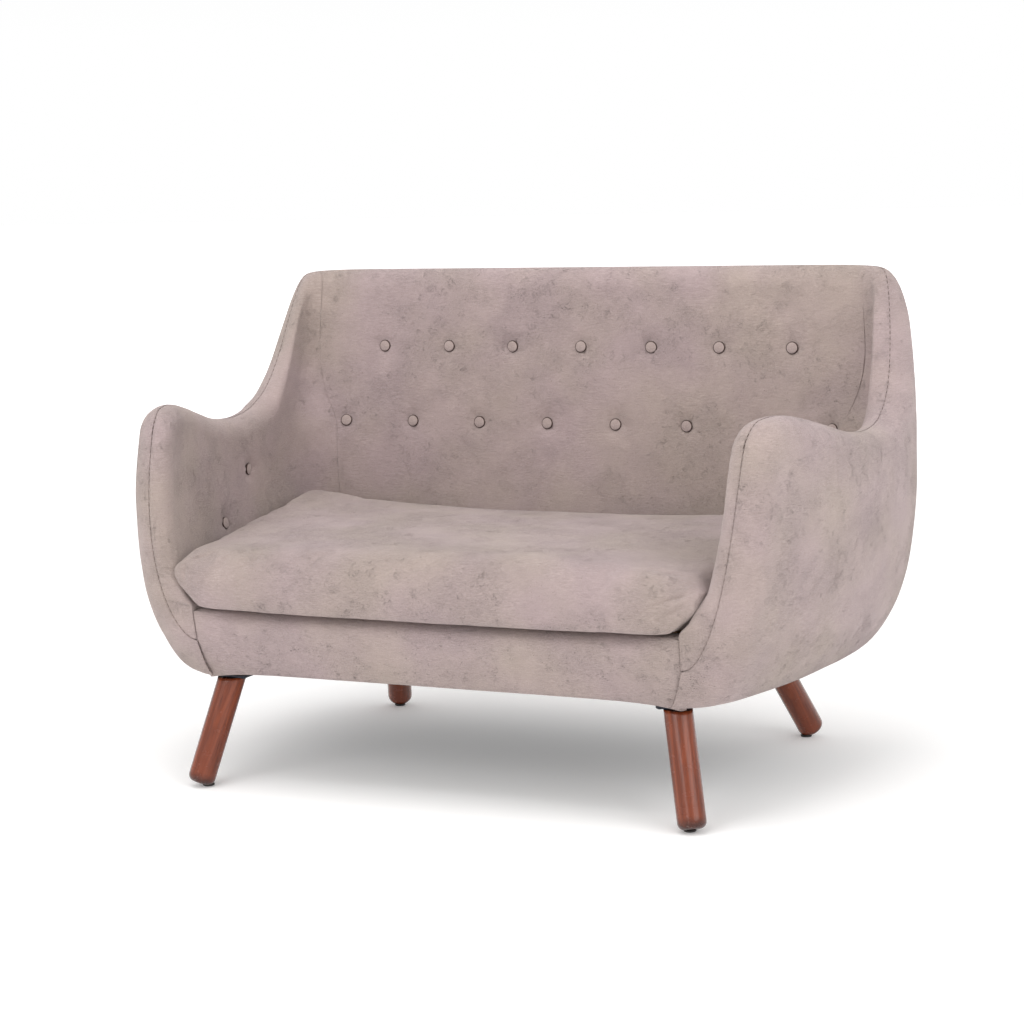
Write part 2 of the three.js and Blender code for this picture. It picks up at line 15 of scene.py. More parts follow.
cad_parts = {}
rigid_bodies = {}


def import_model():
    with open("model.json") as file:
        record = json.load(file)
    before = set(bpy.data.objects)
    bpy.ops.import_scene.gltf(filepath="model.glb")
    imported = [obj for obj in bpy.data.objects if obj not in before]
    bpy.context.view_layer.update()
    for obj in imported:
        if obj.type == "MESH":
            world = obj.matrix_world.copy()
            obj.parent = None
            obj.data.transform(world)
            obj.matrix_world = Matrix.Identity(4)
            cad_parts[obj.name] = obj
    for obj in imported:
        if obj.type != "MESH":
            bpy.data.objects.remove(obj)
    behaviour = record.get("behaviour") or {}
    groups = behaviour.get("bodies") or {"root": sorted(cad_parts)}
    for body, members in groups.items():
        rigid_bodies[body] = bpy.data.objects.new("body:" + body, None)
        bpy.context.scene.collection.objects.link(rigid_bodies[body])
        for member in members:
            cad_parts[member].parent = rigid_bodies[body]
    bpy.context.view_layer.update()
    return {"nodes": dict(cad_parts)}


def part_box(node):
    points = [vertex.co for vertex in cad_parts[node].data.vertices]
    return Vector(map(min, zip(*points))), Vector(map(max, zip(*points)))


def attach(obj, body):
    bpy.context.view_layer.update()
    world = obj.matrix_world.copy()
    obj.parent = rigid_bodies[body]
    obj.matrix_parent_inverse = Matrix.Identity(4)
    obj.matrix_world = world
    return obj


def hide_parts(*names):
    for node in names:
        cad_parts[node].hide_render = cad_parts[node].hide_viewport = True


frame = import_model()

MM = 0.001
FRAME_BODY = "frame"
CUSHION_BODY = "cushion"

# ------------------------------------------------------------------- dimensions
# the shell: one wall from the nose of each arm round to the middle of the back
HALF_WIDTH = 505
REAR = 293.7
WAIST = 400  # height of the widest line
SHELL_BOTTOM = 148.5
SHELL_TOP = 662
NOSE = -262
WIDEST = 110  # y of the widest place, where the arms begin to turn into the back
TAPER = 62  # how far each arm runs in from there
TAPER_RUN = 372  # over this length
WALL = 58
TUCK_DEPTH = 262  # the shell's foot draws in over this depth below the waist
SIDE_TUCK = 118
REAR_TUCK = 79
INNER_TUCK = 100
INNER_TUCK_DEPTH = 200
SIDE_LEAN = 34  # how far its top leans in
REAR_LEAN = 38
INNER_LEAN = 12
INNER_REAR = 214  # y of the back pad's face at INNER_REAR_LEVEL
INNER_REAR_LEVEL = 440
INNER_REAR_SLOPE = 0.05
NOSE_FRONT = -293  # foremost place of an arm, at NOSE_LEVEL
NOSE_LEAN = (46, 235)  # it leans back by the first at the second above that
NOSE_TUCK = (20, 105)  # and below it
RIM_END = 228
RIM_RADIUS = 30
NOSE_RADIUS = 32
NOSE_LEVEL = 262
NOSE_CORNER = 21  # rounding of the rim where it turns down into the nose
SKIRT = 14
PAD_LOW = 244
PAD_LOW_AT_NOSE = 201
HEM_RADIUS = 13  # rounding of the bottom edge of the covers
HEM_LIFT = 3.5
EDGE = 0.2  # thickness left where a cover runs out at a seam
RIM_PATH = (
    (-262, 488), (-240, 498), (-200, 500), (-150, 492), (-90, 478), (-40, 466),
    (10, 460), (50, 460), (86, 466), (108, 475), (128, 489), (146, 511), (163, 542),
    (182, 588), (198, 628), (212, 654), (RIM_END, SHELL_TOP),
)
DIVISION = math.radians(45)  # where arm and back pieces meet, round the rear corner
DIVISION_GAP = math.radians(0.02)

# seams
GROOVE_DEPTH = 1.1
GROOVE_WIDTH = 1.6
STITCH_PITCH = 8.0
STITCH_LENGTH = 5.4
THREAD_RADIUS = 0.45

# buttons
BUTTON_RADIUS = 8.9
BUTTON_HEIGHT = 4.4
BUTTON_EDGE = 2.0  # height of its widest line
BUTTON_PROBE = 11  # the pad is felt this far round a button, for its slope
DIMPLE_DEPTH = 4.8
DIMPLE_RADIUS = 14
HOLLOW_DEPTH = 1.3
HOLLOW_RADIUS = 42
PLEAT_DEPTH = 1.3
UPPER_ROW = (549, (-315, -209, -107, 0, 107, 209, 315))
LOWER_ROW = (439, (-376, -269, -161, -53, 53, 161, 269, 376))
ARM_BUTTONS = ((41, 384), (-56, 319))

# front rail cover: height and place of its hem, its front face and its lip
RAIL_COVER_BACK = -261.3
RAIL_COVER_HEM = ((155, RAIL_COVER_BACK), (154.2, -264.0), (155.2, -266.6))
RAIL_COVER = ((159.5, -268), (184, -276), (207, -284), (220, -288), (229, -286), (236, -277))
RAIL_COVER_LIP = ((239, -271), (241, -266), (242, RAIL_COVER_BACK))
RAIL_COVER_HALF = 330  # about half its length
RAIL_COVER_DROP = 7  # how far its hem comes down at the ends
RAIL_TOP = 244
FOOT_TIP = 338.8  # where the foot of an arm pad ends in a point, below
FOOT_TOP = 340  # and where it meets the end of the rail cover, above

# cushion
CUSHION_BOTTOM = 246
CUSHION_FRONT = -298
CUSHION_REAR = 182
CUSHION_SIDE_GAP = 2.5
CUSHION_EDGE = 306
CUSHION_CROWN = 311

SIDES = (("left", -1), ("right", 1))

# ---------------------------------------------------------------------- helpers


def lerp(a, b, t):
    return a + (b - a) * t


def ramp(x, low, high):
    """0 below low, 1 above high and a smooth step between them."""
    t = np.clip((x - low) / (high - low), 0, 1)
    return t * t * (3 - 2 * t)


def make_mesh(name, points, faces, material, smooth=True):
    """A mesh object from points in mm and faces by index."""
    mesh = bpy.data.meshes.new(name)
    mesh.from_pydata((np.asarray(points, float) * MM).tolist(), [], faces)
    mesh.materials.append(material)
    mesh.polygons.foreach_set("use_smooth", [smooth] * len(mesh.polygons))
    mesh.update()
    piece = bpy.data.objects.new(name, mesh)
    bpy.context.scene.collection.objects.link(piece)
    return piece


def face_outwards(piece):
    """Turns the faces of a closed mesh so that they all point out."""
    shape = bmesh.new()
    shape.from_mesh(piece.data)
    bmesh.ops.recalc_face_normals(shape, faces=shape.faces)
    shape.to_mesh(piece.data)
    shape.free()
    piece.data.update()


def crisp_edges(piece, degrees=50):
    """Edges sharper than an angle are shaded as edges; the rest stay smooth."""
    shape = bmesh.new()
    shape.from_mesh(piece.data)
    limit = math.radians(degrees)
    for edge in shape.edges:
        edge.smooth = edge.calc_face_angle(0) < limit
    shape.to_mesh(piece.data)
    shape.free()


def set_uv(piece, u, v):
    """Gives every corner of the mesh its point's place on the cloth, in metres."""
    layer = piece.data.uv_layers.new(name="cloth")
    corner_points = np.zeros(len(piece.data.loops), np.int32)
    piece.data.loops.foreach_get("vertex_index", corner_points)
    both = np.stack([u[corner_points], v[corner_points]], 1) * MM
    layer.data.foreach_set("uv", both.astype(np.float32).ravel())


def set_wear(piece, values):
    """Stores how worn each point is, for the fabric material."""
    layer = piece.data.attributes.new("wear", "FLOAT", "POINT")
    layer.data.foreach_set("value", np.asarray(values, np.float32))


def slow_noise(points, wavelength, seed):
    """Smooth noise from -1 to 1 at each point, in mm, with bumps of that size."""
    shift = Vector((seed * 7.3, seed * 3.1, seed * 5.7))
    scaled = np.asarray(points, float) / wavelength
    return np.array([noise.noise(Vector(p) + shift) for p in scaled])


def run_length(path):
    """Distance along a path at each of its points."""
    steps = np.linalg.norm(np.diff(path, axis=0), axis=1)
    return np.concatenate([[0], np.cumsum(steps)])


def grid_faces(rows, columns, start=0, flip=False):
    """Quads between neighbouring points of a grid stored row by row."""
    i, j = np.meshgrid(np.arange(rows - 1), np.arange(columns - 1), indexing="ij")
    a = (start + i * columns + j).ravel()
    quads = np.stack([a, a + columns, a + columns + 1, a + 1], 1)
    return (quads[:, ::-1] if flip else quads).tolist()


def slab_faces(rows, columns):
    """Faces of a closed body between two grids of the same size."""
    size = rows * columns
    faces = grid_faces(rows, columns) + grid_faces(rows, columns, size, flip=True)
    rim = list(range(columns))
    rim += [i * columns + columns - 1 for i in range(1, rows)]
    rim += [(rows - 1) * columns + j for j in range(columns - 2, -1, -1)]
    rim += [i * columns for i in range(rows - 2, 0, -1)]
    for a, b in zip(rim, rim[1:] + rim[:1]):
        faces.append([a, b, b + size, a + size])
    return faces


def ring_faces(rings, sides, closed=False):
    """Quads between rings of points; closed joins the last ring to the first."""
    faces = []
    for i in range(rings if closed else rings - 1):
        j = (i + 1) % rings
        for k in range(sides):
            n = (k + 1) % sides
            faces.append([i * sides + k, i * sides + n, j * sides + n, j * sides + k])
    return faces


def end_caps(rings, sides):
    """The two faces that close a stack of rings."""
    return [list(range(sides))[::-1], [(rings - 1) * sides + k for k in range(sides)]]


def box_mm(node):
    """Corners of a CAD node's box, in mm."""
    return tuple(np.array(corner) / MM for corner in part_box(node))


# ------------------------------------------------------------------- wall shape


def bowl(z, top, depth, power):
    """Grows from 0 at a height to 1 at a depth below it, faster and faster."""
    t = np.clip((top - z) / depth, 0, 1)
    return 1 - (1 - t ** power) ** (1 / power)


def rise(z):
    """0 at the waist, 1 at the top of the shell."""
    return np.clip((z - WAIST) / (SHELL_TOP - WAIST), 0, 1) ** 1.6


def outer_half_width(z):
    return HALF_WIDTH - SIDE_TUCK * bowl(z, WAIST, TUCK_DEPTH, 2.3) - SIDE_LEAN * rise(z)


def inner_half_width(z):
    tuck = INNER_TUCK * bowl(z, WAIST, INNER_TUCK_DEPTH, 2.1)
    return HALF_WIDTH - WALL - tuck - INNER_LEAN * rise(z)


def outer_rear(z):
    return REAR - REAR_TUCK * bowl(z, WAIST, TUCK_DEPTH, 2.3) - REAR_LEAN * rise(z)


def inner_rear(z):
    leaning = INNER_REAR + (z - INNER_REAR_LEVEL) * INNER_REAR_SLOPE
    return leaning - 45 * bowl(z, 250, 104, 2)


def nose_y(z):
    """The arm front leans back above its foremost level and below it."""
    above = NOSE_FRONT + NOSE_LEAN[0] * ((z - NOSE_LEVEL) / NOSE_LEAN[1]) ** 2
    below = NOSE_FRONT + NOSE_TUCK[0] * ((NOSE_LEVEL - z) / NOSE_TUCK[1]) ** 2
    return np.where(z > NOSE_LEVEL, above, below)


def smooth_path(knots, steps=12):
    """Points on a Catmull-Rom curve through the knots."""
    p = np.array(knots, float)
    p = np.vstack([2 * p[0] - p[1], p, 2 * p[-1] - p[-2]])
    t = np.linspace(0, 1, steps, endpoint=False)[:, None]
    parts = []
    for a, b, c, d in zip(p, p[1:], p[2:], p[3:]):
        curve = 2 * b + (c - a) * t + (2 * a - 5 * b + 4 * c - d) * t ** 2
        parts.append((curve + (3 * b - a - 3 * c + d) * t ** 3) / 2)
    return np.vstack(parts + [p[-2]])


RIM_LINE = smooth_path(RIM_PATH)


def superellipse(turn, power):
    """The unit superellipse in a direction, as its two coordinates."""
    c, s = np.maximum(np.cos(turn), 0), np.maximum(np.sin(turn), 0)
    size = (c ** power + s ** power) ** (1 / power)
    return c / size, s / size


class Stations:
    """Places along the wall: distance behind the nose on the side, or a turn round
    the rear corner, from 0 at the side to 90 degrees at the middle of the back."""

    def __init__(self, behind, turns):
        side = NOSE + np.asarray(behind, float)
        corner = np.asarray(turns, float)
        self.along = np.concatenate([side, np.full(len(corner), WIDEST)])[:, None]
        self.turn = np.concatenate([np.zeros(len(side)), corner])[:, None]
        self.on_side = np.concatenate([np.ones(len(side)), np.zeros(len(corner))])[:, None] > 0

    def __len__(self):
        return len(self.along)

    def rim(self):
        """Height of the rim at each station."""
        corner_y = WIDEST + (RIM_END - WIDEST) * superellipse(self.turn, 16)[1]
        y = np.where(self.on_side, self.along, corner_y)
        height = np.interp(y, RIM_LINE[:, 0], RIM_LINE[:, 1])
        near = np.clip(1 - (self.along - NOSE) / NOSE_CORNER, 0, 1)
        drop = NOSE_CORNER * (1 - np.sqrt(1 - near ** 2))
        return height - np.where(self.on_side, drop, 0)

    def plan(self, z, half_width, rear, power):
        """x and y of a level curve of the wall."""
        stretch = (WIDEST - nose_y(z)) / (WIDEST - NOSE)
        side_y = WIDEST + (self.along - WIDEST) * stretch
        side_x = half_width - TAPER * ((WIDEST - side_y) / TAPER_RUN) ** 2
        across, back = superellipse(self.turn, power)
        x = np.where(self.on_side, side_x, half_width * across)
        y = np.where(self.on_side, side_y, WIDEST + (rear - WIDEST) * back)
        return np.stack([x, y, np.broadcast_to(z, x.shape)], -1)


def wall_section(stations, z, rim):
    """The dividing surface between pad and cover, the way outwards, the room on its
    outer and inner side, and how near the rim and the nose are (1 at them), for a
    grid of heights z at the stations."""
    outer = stations.plan(z, outer_half_width(z), outer_rear(z), 3.6 + 6 * rise(z))
    low = np.maximum(z, 200)
    corner = 5 + 9 * ramp(z, 430, 560)
    inner = stations.plan(low, inner_half_width(low), inner_rear(low), corner)
    outwards = (outer - inner) * np.array([1, 1, 0])
    thickness = np.linalg.norm(outwards, axis=-1)
    outwards = outwards / thickness[..., None]
    behind_nose = np.where(stations.on_side, ramp(stations.along, NOSE, NOSE + 55), 1)
    above_deck = ramp(z, 235, 315)
    thin = np.minimum(SKIRT, thickness / 2)
    skirt = lerp(thickness / 2, thin, behind_nose * (1 - above_deck))
    rim_share = 1 - np.clip((rim - z) / RIM_RADIUS, 0, 1)
    from_nose = np.clip((stations.along - NOSE) / NOSE_RADIUS, 0, 1)
    nose_share = np.where(stations.on_side, 1 - from_nose, 0)
    nose_share = np.broadcast_to(nose_share, rim_share.shape)
    at_rim = np.sqrt(1 - rim_share ** 2)
    square = lerp(2, 8, 1 - ramp(z, 240, 300))
    round_nose = np.sqrt(1 - nose_share ** 2) * at_rim
    inner_nose = (1 - nose_share ** square) ** (1 / square) * at_rim
    middle = outer - skirt[..., None] * outwards
    outside, inside = skirt * round_nose, (thickness - skirt) * inner_nose
    return middle, outwards, outside, inside, rim_share, nose_share


def sink_seam(points, room, rim_share, nose_share):
    """Draws a surface in near its seam, down at the rim and back at the nose."""
    depth = GROOVE_DEPTH * np.exp(-room / GROOVE_WIDTH)
    sunk = points.copy()
    sunk[..., 2] -= depth * rim_share ** 4
    sunk[..., 1] += depth * nose_share ** 4
    return sunk


def level_grid(low, rim, count, rim_count=16):
    """Heights from low up to the rim, closer together where the rim rounds over."""
    t = np.linspace(0, 1, count)[None, :]
    straight = lerp(low, rim - RIM_RADIUS, t)
    angle = np.linspace(0, math.pi / 2, rim_count + 1)[None, 1:]
    return np.concatenate([straight, rim - RIM_RADIUS + RIM_RADIUS * np.sin(angle)], 1)


def pad_low(stations):
    at_side = lerp(PAD_LOW_AT_NOSE, PAD_LOW, ramp(stations.along, NOSE + 36, NOSE + 70))
    return np.where(stations.on_side, at_side, PAD_LOW)


def shell_low(stations):
    """Bottom of the outer covers: it rises a little towards the nose."""
    lift = HEM_LIFT * (1 - ramp(stations.along, NOSE, NOSE + 75))
    return SHELL_BOTTOM + np.where(stations.on_side, lift, 0)


def foot_inner_x(z):
    """Where the foot of an arm pad meets the end of the front rail cover."""
    share = np.clip((z - PAD_LOW_AT_NOSE) / (RAIL_TOP - PAD_LOW_AT_NOSE), 0, 1)
    return lerp(FOOT_TIP, FOOT_TOP, share)


def beside_rail(face, along):
    """Draws the foot of an arm pad in to the end of the front rail cover."""
    z = face[..., 2]
    near = 1 - ramp(along, NOSE + 36, NOSE + 70)
    drawn_in = near * (1 - ramp(z, RAIL_TOP + 1, RAIL_TOP + 15))
    kept = face.copy()
    kept[..., 0] = lerp(face[..., 0], foot_inner_x(z) + 0.3, drawn_in)
    return kept


def button_places():
    """Every button as name, wall (0 back, 1 right, -1 left), and its place on it."""
    places = []
    for row, (z, xs) in (("upper", UPPER_ROW), ("lower", LOWER_ROW)):
        places += [(f"button_back_{row}_{k + 1}", 0, x, z) for k, x in enumerate(xs)]
    for label, side in SIDES:
        for k, (y, z) in enumerate(ARM_BUTTONS):
            places.append((f"button_{label}_arm_{k + 1}", side, y, z))
    return places


def dimples(points, wall):
    """How far the tufting draws a pad in at each point: a folded pit at each button,
    a wide hollow round it and a pleat above it."""
    across = 0 if wall == 0 else 1
    depth = np.zeros(points.shape[:-1])
    for k, (_, where, u, z) in enumerate(button_places()):
        if where != wall:
            continue
        du, dz = points[..., across] - u, points[..., 2] - z
        near = np.sqrt(du ** 2 + dz ** 2)
        angle = np.arctan2(dz, du)
        folds = 1 + 0.28 * np.cos(5 * angle + k * 1.7) + 0.2 * np.cos(3 * angle + k * 2.9)
        wide = HOLLOW_DEPTH * np.exp(-(near / HOLLOW_RADIUS) ** 2)
        pit = DIMPLE_DEPTH * np.exp(-(near / DIMPLE_RADIUS) ** 2)
        depth += pit * np.where(near > 6, folds, 1) + wide
        pleat = np.exp(-(du / 2.6) ** 2) * np.exp(-((dz - 19) / 9) ** 2)
        depth += PLEAT_DEPTH * pleat * (0.6 + 0.4 * math.cos(k * 2.3))
    return depth


def build_wall(name, stations, wall, outside, material, node):
    """A pad (inside) or an outer cover as one closed body."""
    rim = stations.rim()
    if outside:
        low = shell_low(stations)
        z = level_grid(low, rim, 92)
    else:
        z = level_grid(pad_low(stations), rim, 66)
    middle, outwards, out, inside, rim_share, nose_share = wall_section(stations, z, rim)
    room = out if outside else inside
    if outside:
        hem = 1 - np.clip((z - low) / HEM_RADIUS, 0, 1)
        room = room - np.minimum(HEM_RADIUS * (1 - np.sqrt(1 - hem ** 2)), 0.8 * room)
    room = np.maximum(room, EDGE)
    way = 1 if outside else -1
    face = middle + way * room[..., None] * outwards
    seed = 11 + 3 * wall + outside
    flat = face.reshape(-1, 3)
    wave = 1.5 * slow_noise(flat, 95, seed) + 0.6 * slow_noise(flat, 38, seed + 20)
    wave = wave.reshape(room.shape) * np.clip(room / 12, 0, 1)
    if not outside:
        wave = wave - dimples(face, wall) * np.clip(room / 12, 0, 1)
    face = face + way * wave[..., None] * outwards
    face = sink_seam(face, room, rim_share, nose_share)
    if not outside and wall:
        face = beside_rail(face, stations.along)
    back = sink_seam(middle, room, rim_share, nose_share)
    if wall == 0:
        flip = np.array([-1, 1, 1])
        face = np.concatenate([face, face[-2::-1] * flip])
        back = np.concatenate([back, back[-2::-1] * flip])
        room = np.concatenate([room, room[-2::-1]])
    elif wall < 0:
        face, back = face * np.array([-1, 1, 1]), back * np.array([-1, 1, 1])
    rows, columns = face.shape[:2]
    points = np.concatenate([face.reshape(-1, 3), back.reshape(-1, 3)])
    piece = make_mesh(name, points, slab_faces(rows, columns), material)
    face_outwards(piece)
    crisp_edges(piece)
    u = run_length(face[:, columns // 2])
    steps = np.linalg.norm(np.diff(face, axis=1), axis=2)
    v = np.concatenate([np.zeros((rows, 1)), np.cumsum(steps, 1)], 1)
    u = np.broadcast_to(u[:, None], v.shape).ravel()
    set_uv(piece, np.tile(u, 2), np.tile(v.ravel(), 2))
    near_seam = np.exp(-room / 9)
    near_hem = np.exp(-(face[..., 2] - SHELL_BOTTOM) / 28) if outside else 0
    set_wear(piece, np.tile(np.clip(near_seam + near_hem, 0, 1).ravel(), 2))
    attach(piece, FRAME_BODY)
    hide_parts(node)
    return piece


# -------------------------------------------------------------------- materials


class Look:
    """A material, with short calls that add nodes and join them."""

    def __init__(self, name):
        self.material = bpy.data.materials.new(name)
        self.material.use_nodes = True
        self.tree = self.material.node_tree
        self.shader = self.tree.nodes["Principled BSDF"]
        self.place = self.add("ShaderNodeTexCoord").outputs["Object"]
        self.height = None

    def add(self, kind, **settings):
        node = self.tree.nodes.new(kind)
        for key, value in settings.items():
            setattr(node, key, value)
        return node

    def put(self, socket, value):
        """A plain value or another node's output goes into a socket."""
        if isinstance(value, bpy.types.NodeSocket):
            self.tree.links.new(value, socket)
        else:
            socket.default_value = value

    def stretched(self, scale, place=None):
        node = self.add("ShaderNodeMapping")
        self.put(node.inputs["Vector"], place or self.place)
        node.inputs["Scale"].default_value = scale
        return node.outputs[0]

    def noise(self, scale, detail=2.0, roughness=0.5, place=None, distortion=0.0):
        node = self.add("ShaderNodeTexNoise")
        self.put(node.inputs["Vector"], place or self.place)
        node.inputs["Scale"].default_value = scale
        node.inputs["Detail"].default_value = detail
        node.inputs["Roughness"].default_value = roughness
        node.inputs["Distortion"].default_value = distortion
        return node.outputs[0]

    def streaks(self, scale, detail, roughness, distortion=0.0):
        """Noise drawn out by its own scale along each axis."""
        return self.noise(1.0, detail, roughness, self.stretched(scale), distortion)

    def cells(self, scale, place=None):
        """Distance to the nearest of many scattered points."""
        node = self.add("ShaderNodeTexVoronoi")
        self.put(node.inputs["Vector"], place or self.place)
        node.inputs["Scale"].default_value = scale
        return node.outputs["Distance"]

    def bands(self, way, scale, distortion, detail=2.0, detail_scale=1.0, place=None):
        """Soft stripes across one axis."""
        node = self.add("ShaderNodeTexWave", wave_type="BANDS", bands_direction=way)
        self.put(node.inputs["Vector"], place or self.place)
        node.inputs["Scale"].default_value = scale
        node.inputs["Distortion"].default_value = distortion
        node.inputs["Detail"].default_value = detail
        node.inputs["Detail Scale"].default_value = detail_scale
        return node.outputs["Fac"]

    def math(self, operation, a, b=0.0):
        node = self.add("ShaderNodeMath", operation=operation)
        self.put(node.inputs[0], a)
        self.put(node.inputs[1], b)
        return node.outputs[0]

    def times(self, a, b):
        return self.math("MULTIPLY", a, b)

    def spread(self, value, low, high, to_low=0.0, to_high=1.0):
        """Maps a value's range to another one, held at its ends."""
        node = self.add("ShaderNodeMapRange")
        self.put(node.inputs["Value"], value)
        for socket, number in zip(node.inputs[1:5], (low, high, to_low, to_high)):
            self.put(socket, number)
        return node.outputs[0]

    def blend(self, share, a, b, mode="MIX"):
        node = self.add("ShaderNodeMix", data_type="RGBA", blend_type=mode)
        self.put(node.inputs["Factor"], share)
        colours = [s for s in node.inputs if s.type == "RGBA"]
        self.put(colours[0], a)
        self.put(colours[1], b)
        return next(s for s in node.outputs if s.type == "RGBA")

    def shade(self, colour, field, low, high, darkest, lightest):
        """Multiplies a colour by a field whose range is spread over two tones."""
        tone = self.spread(field, low, high, darkest, lightest)
        return self.blend(1.0, colour, tone, "MULTIPLY")

    def from_axis(self):
        """Distance from the piece's own z axis."""
        flat = self.add("ShaderNodeVectorMath", operation="MULTIPLY")
        self.put(flat.inputs[0], self.place)
        flat.inputs[1].default_value = (1.0, 1.0, 0.0)
        reach = self.add("ShaderNodeVectorMath", operation="LENGTH")
        self.put(reach.inputs[0], flat.outputs[0])
        return reach.outputs["Value"]

    def bump(self, height, distance, strength=1.0):
        """Stacks one more layer of relief."""
        node = self.add("ShaderNodeBump")
        self.put(node.inputs["Height"], height)
        node.inputs["Distance"].default_value = distance
        node.inputs["Strength"].default_value = strength
        if self.height:
            self.put(node.inputs["Normal"], self.height)
        self.height = node.outputs[0]

    def finish(self, colour, roughness, **uniform):
        self.put(self.shader.inputs["Base Color"], colour)
        self.put(self.shader.inputs["Roughness"], roughness)
        if self.height:
            self.put(self.shader.inputs["Normal"], self.height)
        for name, value in uniform.items():
            self.shader.inputs[name.replace("_", " ")].default_value = value
        return self.material


def rgb(red, green, blue):
    """A colour from sRGB numbers of 0 to 255."""
    return tuple(((c / 255 + 0.055) / 1.055) ** 2.4 for c in (red, green, blue)) + (1.0,)


def upholstery(name, light, streak, shaded_rim=None):
    """Brushed slub cloth: mottled taupe, with flecks, short cracks and a fine weave.
    streak is the stretch of the slubs along x, y and z. On a covered button, whose
    radius comes last, the cloth is painted dark out towards that radius: painted shade where it
    turns in round the edge."""
    look = Look(name)
    worn = look.add("ShaderNodeAttribute", attribute_name="wear").outputs["Fac"]
    uv = look.add("ShaderNodeUVMap", uv_map="cloth").outputs[0]

    def toned(red, green, blue):
        return rgb(light * red, light * green, light * blue)

    def drawn(times):
        return tuple(times * s for s in streak)

    clouds = look.spread(look.noise(7.0, 2.0, 0.5), 0.36, 0.64)
    colour = look.blend(clouds, toned(161, 146, 139), toned(161, 144, 143))
    soiling = look.noise(23.0, 4.0, 0.6, distortion=0.4)
    colour = look.shade(colour, soiling, 0.3, 0.72, 0.93, 1.05)
    slubs = look.streaks(streak, 4.0, 0.66)
    colour = look.shade(colour, slubs, 0.25, 0.75, 0.955, 1.04)
    fuzz = look.noise(620.0, 2.0, 0.6)
    colour = look.shade(colour, fuzz, 0.25, 0.75, 0.92, 1.07)

    patches = look.math("ADD", look.noise(11.0, 4.0, 0.62), look.times(worn, 0.1))
    rough_patch = look.spread(patches, 0.4, 0.62)
    rougher = look.spread(rough_patch, 0.0, 1.0, 0.3, 1.0)
    crust = look.streaks(drawn(2.2), 6.0, 0.74, 0.25)
    colour = look.blend(rougher, colour, look.shade(colour, crust, 0.34, 0.66, 0.9, 1.08))

    pits = look.spread(look.cells(430.0), 0.1, 0.24, 1.0, 0.0)
    pits = look.times(pits, look.spread(look.noise(52.0, 3.0, 0.65), 0.49, 0.58))
    veins = look.math("SUBTRACT", look.streaks(drawn(2.1), 3.0, 0.55), 0.5)
    cracks = look.spread(look.math("ABSOLUTE", veins), 0.002, 0.016, 1.0, 0.0)
    cracks = look.times(cracks, look.spread(look.noise(74.0, 3.0, 0.6), 0.56, 0.68))
    marks = look.math("MAXIMUM", pits, cracks)
    marks = look.times(marks, look.spread(rough_patch, 0.1, 0.8))
    dark = toned(108, 92, 86)
    colour = look.blend(look.times(marks, 0.38), colour, dark)

    rows = look.streaks(drawn(1.5), 4.0, 0.7)
    row_field = look.spread(look.noise(15.0, 3.0, 0.6), 0.42, 0.6, 0.25, 1.0)
    colour = look.blend(row_field, colour, look.shade(colour, rows, 0.34, 0.66, 0.88, 1.1))
    specks = look.spread(look.cells(210.0), 0.07, 0.15, 1.0, 0.0)
    specks = look.times(specks, look.spread(look.noise(31.0, 2.0, 0.6), 0.5, 0.56))
    colour = look.blend(look.times(specks, 0.6), colour, dark)
    combed = look.streaks((640.0, 640.0, 46.0), 2.0, 0.6)
    combed = look.shade(colour, combed, 0.42, 0.62, 0.93, 1.07)
    colour = look.blend(look.times(worn, 0.6), colour, combed)

    weave = look.times(*(look.bands(way, 250.0, 1.6, 1.0, 3.0, uv) for way in "XY"))
    colour = look.shade(colour, weave, 0.0, 1.0, 0.965, 1.03)
    if shaded_rim:
        # painted shade: a dark brown ring at the button's rim stands in for the shadow where the
        # cloth turns in
        rim_shade = look.spread(look.from_axis(), 0.8 * shaded_rim, 0.9 * shaded_rim, 0.0, 0.95)
        colour = look.blend(rim_shade, colour, rgb(78, 50, 40), "MULTIPLY")

    look.bump(look.noise(34.0, 3.0, 0.55), 0.003, 0.4)
    look.bump(slubs, 0.0006, 0.5)
    look.bump(rows, 0.0009, 0.7)
    look.bump(look.times(crust, rougher), 0.0024, 0.85)
    look.bump(look.noise(300.0, 3.0, 0.65), 0.0005, 0.6)
    look.bump(look.math("SUBTRACT", 1.0, marks), 0.0009, 1.0)
    look.bump(weave, 0.00025, 0.7)
    return look.finish(
        colour, look.spread(fuzz, 0.2, 0.8, 0.86, 1.0),
        Sheen_Weight=0.25, Sheen_Roughness=0.45, Sheen_Tint=(1.0, 0.95, 0.94, 1.0),
        Specular_IOR_Level=0.16,
    )


